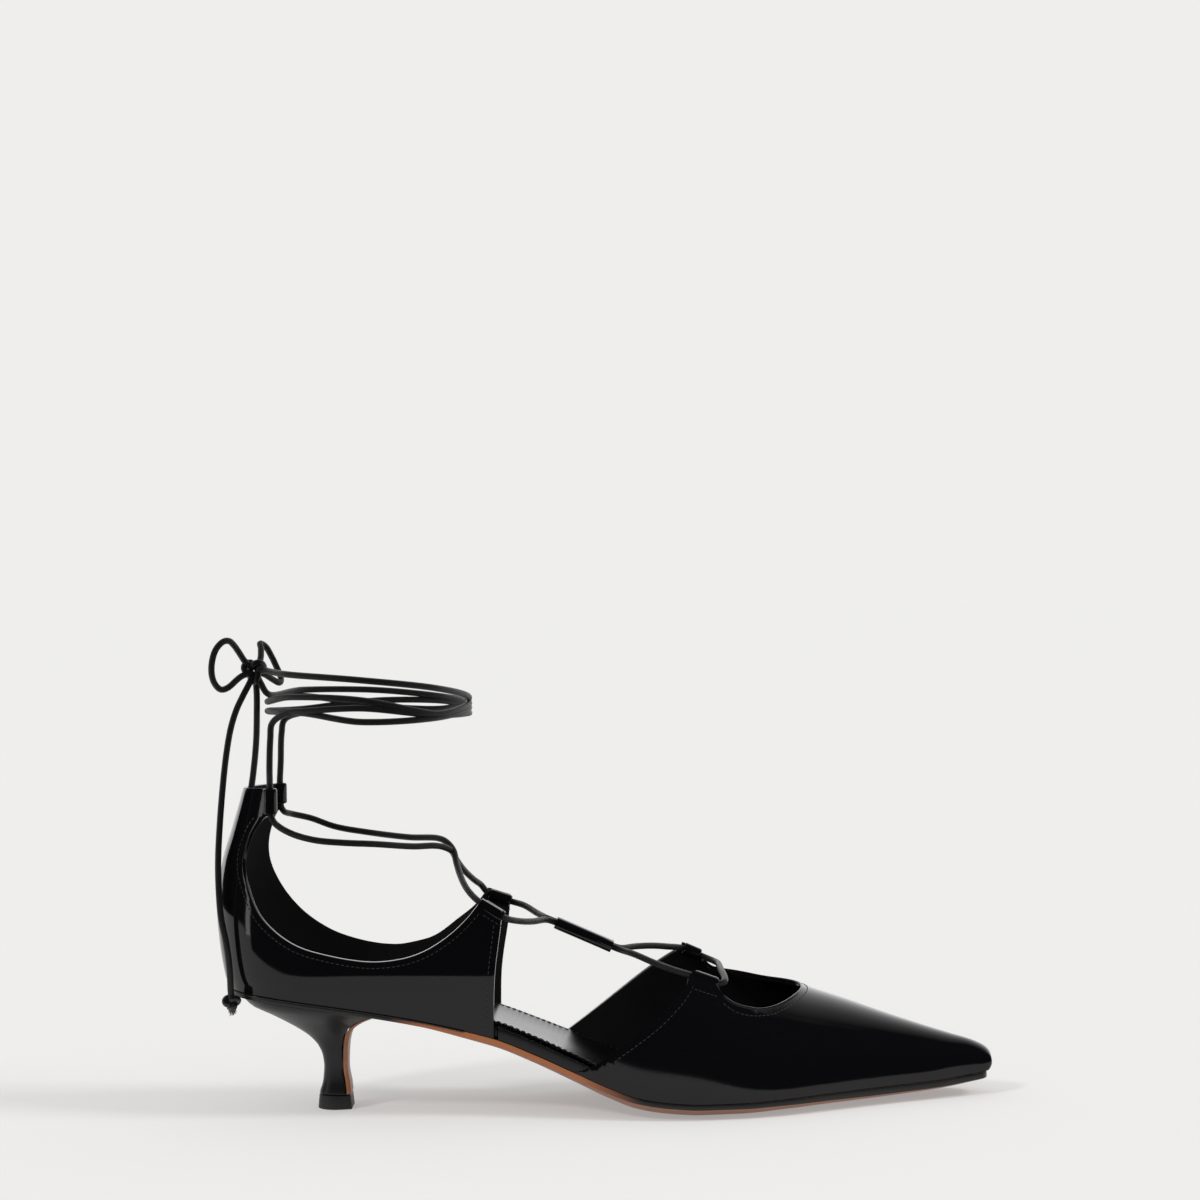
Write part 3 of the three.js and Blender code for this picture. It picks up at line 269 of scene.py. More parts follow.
# place, height of the ridge, its side shift, fullness of the outer and inner side, swell
arch_top, arch_ridge, arch_outer, arch_inner, arch_swell = columns(
    (0.44, 1.0, 0.05, 2.3, 2.5, 0.0),
    (0.52, 1.0, 0.06, 2.2, 2.5, 0.0),
    (0.6, 0.92, 0.07, 2.25, 2.4, 0.015),
    (0.66, 0.76, 0.08, 2.08, 2.3, 0.02),
    (0.71, 0.605, 0.085, 1.95, 2.2, 0.02),
    (0.765, 0.508, 0.085, 1.95, 2.15, 0.02),
    (0.82, 0.425, 0.085, 2.0, 2.15, 0.02),
    (0.87, 0.345, 0.08, 2.1, 2.2, 0.02),
    (0.91, 0.283, 0.08, 2.2, 2.3, 0.02),
    (0.945, 0.228, 0.08, 2.4, 2.4, 0.02),
    (0.975, 0.178, 0.08, 2.6, 2.6, 0.02),
    (1.0, 0.135, 0.08, 2.8, 2.8, 0.02),
)
UPPER_TIP = along(1.004)
ARCH_SCALE = 24.0
TIP_CAP = 3.0
TOP_ROUND = 10.0
ROUND_FROM = UPPER_TIP - TOP_ROUND
CAP_FROM = ROUND_FROM + TOP_ROUND * math.pi / 2


def softened(read, spread=0.011):
    """A reader whose small corners are gone, so that reflections run over it without a break."""
    at = np.linspace(0.4, 1.01, 611)
    value = np.array([read(s) for s in at])
    weight = np.exp(-0.5 * (np.arange(-40, 41) * (at[1] - at[0]) / spread) ** 2)
    ends = np.concatenate([2 * value[0] - value[40:0:-1], value, 2 * value[-1] - value[-2:-42:-1]])
    soft = np.convolve(ends, weight / weight.sum(), "valid")
    return lambda s: float(np.interp(s, at, soft))


arch_top, arch_ridge, arch_outer, arch_inner, arch_swell = map(
    softened, (arch_top, arch_ridge, arch_outer, arch_inner, arch_swell)
)
arch_half = softened(lambda s: half_width(min(along(s), SOLE_TIP - 0.25 * TIP_ROUND)))
arch_base = softened(lambda s: feather(along(s)), 0.006)
arch_middle = softened(lambda s: middle(along(s)))


def arch(x, inset=0.0):
    """Base height, ridge, height, reach to each side and exponent to each side of the arch at x."""
    s = share_at(x)
    t = (x - UPPER_TIP + TIP_ROUND) / TIP_ROUND
    dome = max(0.0, 1 - t ** 2.6) ** (1 / 2.6) if t > 0 else 1.0
    t = (x - UPPER_TIP + TOP_ROUND) / TOP_ROUND
    fall = max(0.0, 1 - t ** 2.4) ** (1 / 2.4) if t > 0 else 1.0
    ridge = arch_ridge(s) * BALL
    high = max(0.6, arch_top(s) * INSTEP * (0.52 + 0.48 * fall) - inset)
    half = max(1.0, arch_half(s) * (0.72 + 0.28 * dome) - inset)
    reach = {side: side * (arch_middle(s) - ridge) + half for side in (-1, 1)}
    power = {-1: 2 / arch_outer(s), 1: 2 / arch_inner(s)}
    return arch_base(s) + 0.2, ridge, high, reach, power, arch_swell(s)


def reach_at(power, a):
    """How far out the arch is at the turn a; it is round over the ridge."""
    c = max(0.0, math.cos(a))
    return c ** (1 + (power - 1) * c * c)


def swell_at(swell, a):
    return 1 + swell * math.sin(2 * a) ** 2 * (1 if a < math.pi / 4 else 0.6)


def vamp_point(u, v, inset=0.0):
    """A point of the vamp. u is the place along the shoe, past the tip over the toe's end face;
    v runs from the outer sole edge over the ridge to the inner sole edge."""
    turn = min(math.pi / 2, max(0.0, (u - ROUND_FROM) / TOP_ROUND))
    x = min(u, ROUND_FROM + (TOP_ROUND - 0.01) * math.sin(turn)) if turn > 0 else u
    over = max(0.0, (u - CAP_FROM) / TIP_CAP)
    base, ridge, high, reach, power, swell = arch(x, inset)
    turn = v / ARCH_SCALE
    side = -1 if turn <= math.pi / 2 else 1
    a = turn if side < 0 else math.pi - turn
    a = min(math.pi / 2, max(0.0, a))
    y = ridge + side * reach[side] * reach_at(power[side], a) * swell_at(swell, a)
    z = base + high * math.sin(a) ** power[side]
    centre = (middle(x), base + 0.45 * high)
    shrink = 1 - over
    z = centre[1] + (z - centre[1]) * shrink
    y = centre[0] + (y - centre[0]) * shrink
    near_tip = max(0.0, (x - UPPER_TIP + TIP_ROUND) / TIP_ROUND)
    low = max(0.0, 1 - (z - base) / (0.55 * high))
    return (x + 0.5 * (1 - shrink * shrink) - 1.1 * near_tip ** 3 * low ** 2, y, z)


def vamp_from_side(side, x, z):
    """The place on the vamp of a point seen from the side."""
    base, _, high, _, power, _ = arch(x)
    rise = min(1.0, max(0.0, (z - base) / high))
    a = math.asin(rise ** (1 / power[side]))
    return (x, ARCH_SCALE * (a if side < 0 else math.pi - a))


def vamp_from_above(x, y):
    """The place on the vamp of a point seen from above."""
    _, ridge, _, reach, power, swell = arch(x)
    side = -1 if y < ridge else 1
    out = abs(y - ridge) / reach[side]
    a = bisected(0.0, math.pi / 2, 30, lambda a: reach_at(power[side], a) * swell_at(swell, a) > out)
    return (x, ARCH_SCALE * (a if side < 0 else math.pi - a))


# height above the seat, swell at the rear, beside the seat and at the front tabs
swell_rear, swell_side, swell_front = columns(
    (0.0, 0.0, 0.0, 0.0),
    (0.08, 0.022, 0.018, 0.01),
    (0.24, 0.046, 0.03, 0.02),
    (0.37, 0.056, 0.018, 0.036),
    (0.5, 0.045, -0.012, 0.052),
    (0.65, 0.019, -0.045, 0.058),
    (0.78, -0.022, -0.07, 0.05),
    (1.0, -0.088, -0.1, 0.03),
)
SEAT_ARC = SEAT_ROUND * 0.985
SEAT_RUN = SEAT_ARC * math.pi / 2
BACK_FLAT = 0.02


def seat_edge(u):
    """The seat's edge in plan: u is 0 at the back, negative on the outer side."""
    t = abs(u) / SEAT_RUN
    if t <= 1:
        x = SEAT_BACK + SEAT_ARC * (1 - math.cos(t * math.pi / 2))
    else:
        x = SEAT_BACK + SEAT_ARC + (t - 1) * SEAT_RUN
    if t > BACK_FLAT:
        half = half_width(x)
    else:
        half = half_width(SEAT_BACK + SEAT_ARC * (1 - math.cos(BACK_FLAT * math.pi / 2))) * t / BACK_FLAT
    return x, middle(x) + math.copysign(half, u)


def quarter_point(u, v, inset=0.0):
    """A point of the rear wall: u along the seat's edge, v the height above the seat."""
    x, y = seat_edge(u)
    step = 0.6
    (xa, ya), (xb, yb) = seat_edge(u - step), seat_edge(u + step)
    run = math.hypot(xb - xa, yb - ya)
    out = ((ya - yb) / run, (xb - xa) / run)
    share = v / COUNTER
    forward = smoothstep(share_at(x), 0.16, 0.36)
    beside = abs(out[1])
    back = (1 - beside) * swell_rear(share) + beside * swell_side(share)
    by = COUNTER * ((1 - forward) * back + forward * swell_front(share)) - inset
    return (x + out[0] * by, y + out[1] * by, SEAT_HEIGHT + v)


def quarter_from_side(side, x, z, inset=0.0):
    """The place on the rear wall of a point seen from the side."""
    v = z - SEAT_HEIGHT
    return (side * bisected(0.0, 2.3 * SEAT_RUN, 26, lambda u: quarter_point(side * u, v, inset)[0] < x), v)


# ---- outlines of the upper, seen from the side

def counter_line(*rows):
    return [(along(s), SEAT_HEIGHT + h * COUNTER) for s, h in rows]


def instep_line(*rows):
    return [(along(s), feather(along(s)) + h * INSTEP) for s, h in rows]


def plan_line(*rows):
    return [(along(s), y * BALL) for s, y in rows]

TOPLINE = {
    -1: counter_line(
        (0.0785, 0.872), (0.0635, 0.85), (0.0475, 0.766), (0.0385, 0.64), (0.045, 0.52), (0.0655, 0.37),
        (0.105, 0.25), (0.15, 0.19), (0.2, 0.155), (0.24, 0.163), (0.272, 0.2), (0.302, 0.27),
        (0.3265, 0.355), (0.3475, 0.455),
    ),
    1: counter_line(
        (0.0785, 0.893), (0.067, 0.84), (0.0575, 0.72), (0.0585, 0.6), (0.073, 0.465), (0.098, 0.335),
        (0.135, 0.23), (0.178, 0.17), (0.219, 0.147), (0.25, 0.162), (0.277, 0.195), (0.306, 0.275),
        (0.3295, 0.345), (0.3475, 0.43),
    ),
}
MID_TAB = {
    -1: counter_line((0.3475, 0.455), (0.3725, 0.394)),
    1: counter_line((0.3475, 0.43), (0.377, 0.393)),
}
FRONT_EDGE = {
    -1: counter_line((0.3725, 0.394), (0.3685, 0.28), (0.3625, 0.12), (0.3595, -0.04), (0.3585, -0.3)),
    1: counter_line((0.377, 0.393), (0.373, 0.25), (0.3665, 0.1), (0.363, -0.04), (0.362, -0.3)),
}
VAMP_EDGE = {
    -1: instep_line(
        (0.46, 0.0), (0.489, 0.103), (0.523, 0.258), (0.5615, 0.413), (0.588, 0.53), (0.601, 0.6),
        (0.608, 0.66), (0.613, 0.686),
    ),
    1: instep_line(
        (0.428, -0.02), (0.457, 0.116), (0.498, 0.313), (0.5534, 0.555), (0.5897, 0.672), (0.6, 0.7),
        (0.605, 0.736),
    ),
}
FRONT_TAB = {
    -1: instep_line((0.613, 0.686), (0.643, 0.639)),
    1: instep_line((0.605, 0.736), (0.6286, 0.696)),
}
THROAT = {
    -1: plan_line(
        (0.6435, -0.31), (0.6475, -0.334), (0.655, -0.346), (0.667, -0.34), (0.681, -0.32), (0.696, -0.29),
        (0.7125, -0.247), (0.73, -0.187), (0.7465, -0.1), (0.757, -0.01),
    ),
    1: plan_line(
        (0.6285, 0.33), (0.636, 0.382), (0.6445, 0.386), (0.674, 0.353), (0.6975, 0.307), (0.721, 0.252),
        (0.737, 0.2), (0.7515, 0.14), (0.759, 0.07),
    ),
}


# ---- tunnels that hold the lace

FOLD_DROP = TUNNEL / 2 - 0.2


def vamp_face(side, x, z):
    """How far out the vamp is, beside the middle of a fold whose top edge is at z."""
    base, ridge, high, reach, power, _ = arch(x)
    rise = min(0.999, (z - FOLD_DROP - base) / high)
    return ridge + side * reach[side] * (1 - rise ** (2 / power[side])) ** (power[side] / 2)


def quarter_face(side, x, z):
    return quarter_point(*quarter_from_side(side, x, z))[1]


def tab_tunnel(side, tab, face, sink, ends):
    """The tunnel under a tab's top edge, inside the leather's face, with its two ends moved along."""
    return [(x + end, face(side, x, z) - side * sink, z - FOLD_DROP) for (x, z), end in zip(tab[side], ends)]


def back_tunnel(side):
    length = 8.6 if side < 0 else 7
    x, top = along(0.0755), SEAT_HEIGHT + 0.998 * COUNTER
    y = quarter_point(*quarter_from_side(side, x, top - 4.3, WALL / 2), WALL / 2)[1]
    return [(x, y, top - length), (x, y, top)]


FRONT_TUNNEL = {s: tab_tunnel(s, FRONT_TAB, vamp_face, TUNNEL / 2 + 0.35, (0.3, -0.1)) for s, _ in SIDES}
MID_TUNNEL = {s: tab_tunnel(s, MID_TAB, quarter_face, TUNNEL / 2 - 0.15, (0.3, 0.1)) for s, _ in SIDES}
BACK_TUNNEL = {s: back_tunnel(s) for s, _ in SIDES}


# ---- routes of the lace

BRIDGE = [
    (129.6, 22.6, 44.9), (131.2, 19, 44.5), (131.6, 8, 44.9), (131.8, -6, 44.9), (132.4, -17, 43.9),
    (131.9, -21.5, 43.1),
]
KEEPER_FRONT, KEEPER_REAR = (94.8, 0, 53.2), (75.9, 0, 61.7)


def fore_points(side, hands, leaving):
    pair = 0.48 * LACE
    return [
        *hands,
        (97.4 if side < 0 else 97.6, side * 1.9, 52.2),
        (KEEPER_FRONT[0], side * pair, KEEPER_FRONT[2]),
        (90.5, side * pair, 55.1),
        (80.2, side * pair, 59.8),
        (KEEPER_REAR[0], side * pair, KEEPER_REAR[2]),
        (73.2, side * 1.9, 62.7),
        *leaving,
    ]


FORE = {
    -1: fore_points(
        -1, [(115, -20.6, 47.4), (108.8, -15, 49.2), (102, -8, 51.4)], [(68, -12, 63.4), (63.4, -20, 64.6)]
    ),
    1: fore_points(
        1, [(114, 20, 50.2), (109, 15, 51.2), (102.6, 8.2, 51.9)], [(69.5, 10, 63.6), (64.4, 19, 65.6)]
    ),
}
REAR = {
    -1: [
        (48.6, -21.6, 73.4), (46.2, -17, 75.8), (44, -10, 79.2), (42.4, -4, 83.1), (41.2, 0, 87),
        (37.4, 4, 90.2), (25, 13.5, 90.4), (10.7, 21, 91.7), (-1.3, 23, 93.8), (-9.4, 21.5, 97),
        (-15.6, 18.6, 98.8),
    ],
    1: [
        (49.6, 22, 72.6), (47.6, 18, 74.6), (44.4, 10.6, 78.8), (42, 4, 83.3), (40.6, -0.6, 86.8),
        (36.4, -5, 88.8), (28.3, -12, 89.4), (16.1, -21, 91.2), (6.7, -24, 92), (-3, -24, 93),
        (-10.5, -21.6, 94.8), (-15.4, -19, 97),
    ],
}
# Half turns round the ankle: side, whether it runs to the front, heights at four places
ANKLE = {"length": 68.6, "width": 62, "middle": 13.2}
TURNS = {
    -1: [
        (-1, True, (135.0, 135.4, 132.4, 133.0)),
        (1, False, (135.4, 137.1, 137.3, 135.2)),
        (-1, True, (135.5, 135.8, 136.9, 134.2)),
        (1, False, (136.9, 138.6, 141.0, 141.8)),
    ],
    1: [
        (1, True, (135.3, 133.9, 134.8, 132.7)),
        (-1, False, (133.6, 134.2, 139.6, 140.7)),
        (1, True, (138.6, 139.6, 135.5, 134.4)),
        (-1, False, (138.9, 142.9, 146.2, 148.2)),
    ],
}
RISE = {
    -1: [(-18.9, -17.3, 117), (-18.4, -17.6, 127), (-17.6, -18.2, 132)],
    1: [(-19.1, 17.3, 117), (-18.6, 17.2, 127), (-17.6, 18, 131.6)],
}
TO_KNOT = {
    -1: [(-21.3, 0, 141.4), (-23.2, -0.5, 144.6), (-24.6, -0.2, 147.4)],
    1: [(-17.6, -12.8, 148.9), (-21.9, -2.8, 149.4), (-24.4, -1, 149.4)],
}
BOW_KNOT = (-25.7, 0, 149.3)
LOOPS = {
    -1: [
        (-28.6, -2, 152.7), (-30.3, -3.8, 155.8), (-31.8, -5.5, 158.3), (-33.1, -7, 159.6),
        (-34.9, -8.5, 159.4), (-37.2, -10, 156.8), (-38.5, -10.5, 152.6), (-38.7, -10, 148.3),
        (-37.8, -9, 145.1), (-36, -7.5, 143.2), (-33.8, -6, 143.8), (-31.2, -3.8, 146.2), (-29.6, -2.3, 147.5),
    ],
    1: [
        (-23.8, 2.7, 152.9), (-23.9, 6, 156.6), (-24.4, 8.4, 158.4), (-22.8, 10, 157.3), (-20.8, 10.5, 153.7),
        (-19.2, 10.5, 150.2), (-17.7, 10, 146.4), (-17.9, 7.8, 144.8), (-20, 5.6, 146), (-22.3, 3.1, 147.8),
    ],
}
LOOP_ENDS = {
    -1: ((-26.9, -0.8, 150.7), (-27, -1, 148.6)),
    1: ((-24.6, 1, 150.9), (-24.2, 1.4, 148.6)),
}
TAILS = {
    -1: [
        (-27.3, -1.4, 144.7), (-29.2, -2.4, 141), (-31.4, -3.6, 136.2), (-33.2, -5, 130.2), (-34.6, -6.6, 122),
        (-35.8, -8.4, 111), (-36.8, -10.4, 98), (-37.3, -12.4, 86), (-37, -14.4, 76), (-36.2, -15.9, 67),
        (-34.4, -17, 58), (-33.5, -17, 50), (-33.2, -17, 42.1),
    ],
    1: [
        (-25.2, 1.2, 144.4), (-25.2, 1.6, 133), (-25.5, 1.2, 125), (-26.4, 0.8, 116), (-27.4, 0.4, 109),
        (-29.6, 0, 98), (-32.4, 0, 86), (-34.2, 0, 74), (-34.4, 0, 62), (-32.6, 0, 54), (-28.4, 0, 50.2),
        (-26.2, 0, 50),
    ],
}
END_KNOT = {-1: (-33, -17, 38.6), 1: (-22.6, 0, 50.2)}
INTO_KNOT = {-1: (0, 0, 1.5), 1: (-1.5, 0, 0)}


def turn_points(rows):
    points = []
    for row, (side, to_front, heights) in enumerate(rows):
        for i in range(1 if row == 0 else 0, 4):
            turn = math.pi * (1 - i / 4 if to_front else i / 4)
            x = ANKLE["middle"] + ANKLE["length"] / 2 * math.cos(turn)
            points.append((x, side * ANKLE["width"] / 2 * math.sin(turn), heights[i]))
    return points


def middle_of(tunnel):
    return tuple((a + b) / 2 for a, b in zip(*tunnel))


def lacing(side):
    """The lace from the front, through its tunnels and the keeper, into the back tunnel on the other side."""
    front, mid, back = FRONT_TUNNEL[side], MID_TUNNEL[side], BACK_TUNNEL[-side]
    if side < 0:
        start = [middle_of(FRONT_TUNNEL[1]), FRONT_TUNNEL[1][1], *BRIDGE, front[1], front[0]]
        end = [(back[0][0] + 0.9, back[0][1] - 0.1, back[0][2] - 2.6)]
    else:
        start = [middle_of(front), front[0]]
        end = [(back[0][0] + 0.7, back[0][1], back[0][2] - 2)]
    points = [*start, *FORE[side], mid[1], mid[0], *REAR[side], *end, back[0], middle_of(back)]
    return eased(through(points, 0.7), 3)


def ankle_cord(side):
    tunnel = BACK_TUNNEL[side]
    points = [middle_of(tunnel), tunnel[1], *RISE[side], *turn_points(TURNS[side]), *TO_KNOT[side]]
    return through(points, 0.8)


# ---- meshes

def filed(piece, slot, *nodes):
    """Hides the source's nodes that a piece stands for, and gives the piece back; the slot is not used."""
    if nodes:
        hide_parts(*nodes)
    return piece


def mesh_object(name, points, faces, material, uv=None):
    mesh = bpy.data.meshes.new(name)
    mesh.from_pydata([tuple(float(c) * MM for c in p) for p in points], [], faces)
    mesh.validate()
    if uv is not None:
        layer = mesh.uv_layers.new(name="run")
        for corner in mesh.loops:
            layer.data[corner.index].uv = uv[corner.vertex_index]
    mesh.materials.append(material)
    mesh.shade_smooth()
    mesh.update()
    piece = bpy.data.objects.new(name, mesh)
    bpy.context.collection.objects.link(piece)
    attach(piece, "root")
    return piece


def ring_faces(rows, count, looped=False):
    """Faces over a row of rings of count points. Its ends meet where looped, or else they get caps."""
    faces = []
    for row in range(rows if looped else rows - 1):
        a, b = row * count, (row + 1) % rows * count
        faces += [(a + i, a + (i + 1) % count, b + (i + 1) % count, b + i) for i in range(count)]
    if not looped:
        faces += [tuple(reversed(range(count))), tuple(range((rows - 1) * count, rows * count))]
    return faces


def ring_skin(name, rings, material, looped=False):
    """A closed skin over a row of rings, with its faces turned outwards."""
    faces = ring_faces(len(rings), len(rings[0]), looped)
    piece = mesh_object(name, [p for ring in rings for p in ring], faces, material)
    work = bmesh.new()
    work.from_mesh(piece.data)
    bmesh.ops.remove_doubles(work, verts=work.verts, dist=1e-6)
    bmesh.ops.recalc_face_normals(work, faces=work.faces)
    work.to_mesh(piece.data)
    work.free()
    return piece


def rounded(piece, width, angle=40, segments=2):
    """Small round edges, which catch the light."""
    bevel = piece.modifiers.new("edges", "BEVEL")
    bevel.width, bevel.segments = width * MM, segments
    bevel.limit_method, bevel.angle_limit = "ANGLE", math.radians(angle)
    bevel.harden_normals = False
    return piece


def square_to(run):
    """A unit direction square to run."""
    side = np.cross(run, (0, 0, 1) if abs(run[2]) < 0.9 else (1, 0, 0))
    return side / np.linalg.norm(side)


def frames_along(path):
    """Even cross directions along a path."""
    tangents = np.gradient(path, axis=0)
    tangents /= np.linalg.norm(tangents, axis=1)[:, None]
    side = square_to(tangents[0])
    out = []
    for t in tangents:
        side = side - t * np.dot(side, t)
        side /= np.linalg.norm(side)
        out.append((side, np.cross(t, side)))
    return out


def tube_mesh(path, radius, sides):
    """Points, faces and run of a round tube; radius may change along it."""
    radius = np.broadcast_to(radius, (len(path),))
    run = np.concatenate([[0], np.cumsum(np.linalg.norm(np.diff(path, axis=0), axis=1))])
    points, uv = [], []
    for p, (a, b), r, s in zip(path, frames_along(path), radius, run):
        for i in range(sides):
            turn = 2 * math.pi * i / sides
            points.append(p + r * (math.cos(turn) * a + math.sin(turn) * b))
            uv.append((s / 10, i / sides))
    return points, ring_faces(len(path), sides), uv


def joined(name, parts, material):
    """One object of several point and face lists."""
    points, faces = [], []
    for some_points, some_faces in parts:
        faces += [tuple(i + len(points) for i in face) for face in some_faces]
        points += list(some_points)
    return mesh_object(name, points, faces, material)


def stitches(name, path, pitch=1.7, length=1.25, width=0.19, slot="upper_leather"):
    """A row of single stitches along a path that lies on the leather."""
    marks = spaced(path, pitch)
    parts = []
    for a, b in zip(marks, marks[1:]):
        centre, run = (a + b) / 2, (b - a) / np.linalg.norm(b - a)
        spots = [centre + run * length * t for t in (-0.5, -0.38, 0, 0.38, 0.5)]
        parts.append(tube_mesh(np.array(spots), np.array([0.05, 0.8, 1.1, 0.8, 0.05]) * width, 6)[:2])
    filed(joined(name, parts, thread), slot)


def bead(name, path, radius, sides):
    """A thin raised roll of the upper's leather."""
    points, faces, _ = tube_mesh(np.array(path), radius, sides)
    filed(mesh_object(name, points, faces, upper_leather), "upper_leather")


def trimmed_skin(name, node, outline, surface, pitch, turned=False):
    """A leather wall: the part of a surface inside a flat outline, with a lining and rounded edges."""
    edge = spaced([*outline, outline[0]], 0.4 * pitch)[:-1]
    low, high = edge.min(axis=0), edge.max(axis=0)
    grid = np.array([
        (x, y)
        for x in np.arange(low[0] + pitch / 2, high[0], pitch)
        for y in np.arange(low[1] + pitch / 2, high[1], pitch)
    ])
    nearest = np.full(len(grid), 1e9)
    inside = np.zeros(len(grid), bool)
    for a, b in zip(edge, np.roll(edge, -1, axis=0)):
        nearest = np.minimum(nearest, np.hypot(*(grid - a).T))
        cross = (a[1] > grid[:, 1]) != (b[1] > grid[:, 1])
        if a[1] != b[1]:
            inside ^= cross & (grid[:, 0] < (b[0] - a[0]) * (grid[:, 1] - a[1]) / (b[1] - a[1]) + a[0])
    grid = grid[inside & (nearest > 0.6 * pitch)]
    flat = [Vector(p) for p in [*edge.tolist(), *grid.tolist()]]
    ring = [(i, (i + 1) % len(edge)) for i in range(len(edge))]
    spots, _, faces, _, _, _ = geometry.delaunay_2d_cdt(flat, ring, [], 1, 1e-7)
    faces = [tuple(reversed(f)) if turned else tuple(f) for f in faces]
    piece = mesh_object(name, [surface(p.x, p.y) for p in spots], faces, upper_leather)
    piece.data.materials.append(lining)
    wall = piece.modifiers.new("wall", "SOLIDIFY")
    wall.thickness, wall.offset = WALL * MM, -1
    wall.material_offset, wall.material_offset_rim = 1, 0
    return rounded(filed(piece, "upper_leather", node), 0.5, 50, 3)


# ---- materials

class Finish:
    """A new material, with helpers that add nodes to it and give back an output."""

    def __init__(self, name, color, roughness, **sockets):
        self.material = bpy.data.materials.new(name)
        self.material.use_nodes = True
        self.tree = self.material.node_tree
        self.link = self.tree.links.new
        self.shader = self.tree.nodes["Principled BSDF"].inputs
        self.shader["Base Color"].default_value = (*color, 1)
        self.shader["Roughness"].default_value = roughness
        for socket, value in sockets.items():
            self.shader[socket.replace("_", " ")].default_value = value

    def add(self, kind, **values):
        node = self.tree.nodes.new(kind)
        for key, value in values.items():
            socket = key.replace("_", " ")
            if socket in node.inputs:
                node.inputs[socket].default_value = value
            else:
                setattr(node, key, value)
        return node

    def feed(self, socket, output):
        self.link(output, self.shader[socket])

    def axis(self, space, letter):
        place, axes = self.add("ShaderNodeTexCoord"), self.add("ShaderNodeSeparateXYZ")
        self.link(place.outputs[space], axes.inputs[0])
        return axes.outputs[letter]

    def noise(self, scale, detail, **values):
        place = self.add("ShaderNodeTexCoord")
        grain = self.add("ShaderNodeTexNoise", Scale=scale, Detail=detail, **values)
        self.link(place.outputs["Object"], grain.inputs["Vector"])
        return grain.outputs["Fac"]

    def maths(self, operation, *values):
        """Each value is a number or the output of a node."""
        node = self.add("ShaderNodeMath", operation=operation)
        for socket, value in zip(node.inputs, values):
            if isinstance(value, (int, float)):
                socket.default_value = value
            else:
                self.link(value, socket)
        return node.outputs[0]

    def mapped(self, value, **limits):
        node = self.add("ShaderNodeMapRange", **limits)
        self.link(value, node.inputs["Value"])
        return node.outputs["Result"]

    def ramp(self, value, *stops):
        """The colour for a value, from stops of place and colour."""
        node = self.add("ShaderNodeValToRGB")
        elements = node.color_ramp.elements
        for k in (0, -1):
            elements[k].position, elements[k].color = stops[k][0], (*stops[k][1], 1)
        for at, color in stops[1:-1]:
            elements.new(at).color = (*color, 1)
        self.link(value, node.inputs["Fac"])
        return node.outputs["Color"]

    def bump(self, height, strength, distance):
        node = self.add("ShaderNodeBump", Strength=strength, Distance=distance)
        self.link(height, node.inputs["Height"])
        self.feed("Normal", node.outputs["Normal"])


PORES, WAVES = 1400, 38.0


def leather(name, color, roughness, coat, strength=0.06, shine=0.32):
    """Polished calf: fine pores, slight unevenness of the shine."""
    made = Finish(name, color, roughness, Coat_Weight=coat, Coat_Roughness=0.04, Specular_IOR_Level=shine)
    waves = made.noise(WAVES, 1.0)
    made.bump(made.maths("MULTIPLY_ADD", waves, 0.9, made.noise(PORES, 3.0, Roughness=0.6)), strength, 0.00025)
    made.feed("Roughness", made.mapped(waves, To_Min=roughness * 0.8, To_Max=roughness * 1.25))
    return made.material


def sole_leather():
    """Tan sole leather, a little uneven in colour."""
    made = Finish("sole_leather", (0.26, 0.09, 0.035), 0.4)
    grain = made.noise(260.0, 5.0)
    made.feed("Base Color", made.ramp(grain, (0, (0.17, 0.052, 0.02)), (1, (0.33, 0.125, 0.05))))
    made.bump(grain, 0.15, 0.0002)
    return made.material


def sole_edge_paint():
    """The sole's cut edge: painted black but for the waist, where the tan leather shows."""
    made = Finish("sole_edge", (0.1, 0.04, 0.02), 0.38)
    run = made.mapped(made.axis("Object", "X"), From_Min=0.0, From_Max=0.225)
    black, tan = (0.003, 0.0025, 0.0025), (0.27, 0.09, 0.03)
    made.feed("Base Color", made.ramp(run, (0.09, black), (0.14, tan), (0.37, tan), (0.46, black)))
    made.bump(made.noise(500.0, 3.0), 0.1, 0.0002)
    return made.material


# Threads of the braid round the cord, and their turns in each 10 mm of it
STRANDS, BRAID_TURNS = 8, 12


def cord_fabric():
    """A fine round braid: two crossing sets of threads that follow the cord, with painted shade in the hollows
    between them.
    """
    made = Finish("cord_braid", (0.005, 0.005, 0.006), 0.42, Sheen_Weight=0.04, Sheen_Roughness=0.4)
    turns = made.maths("MULTIPLY", made.axis("UV", "X"), BRAID_TURNS * 2 * math.pi)
    top = made.maths("MAXIMUM", *(
        made.maths("SINE", made.maths("MULTIPLY_ADD", made.axis("UV", "Y"), hand * STRANDS * 2 * math.pi, turns))
        for hand in (1, -1)
    ))
    made.bump(top, 0.5, 0.00012)
    # Painted shade: the hollows between the threads are coloured darker than their crests.
    shade = made.mapped(top, From_Min=-0.4)
    made.feed("Base Color", made.ramp(shade, (0, (0.002, 0.002, 0.002)), (1, (0.008, 0.008, 0.009))))
    return made.material


def flat_finish(name, color, roughness, scale, strength, **sockets):
    """An even finish with a fine grain."""
    made = Finish(name, color, roughness, **sockets)
    made.bump(made.noise(scale, 4.0), strength, 0.0002)
    return made.material


# ---- pieces

camera_and_studio()

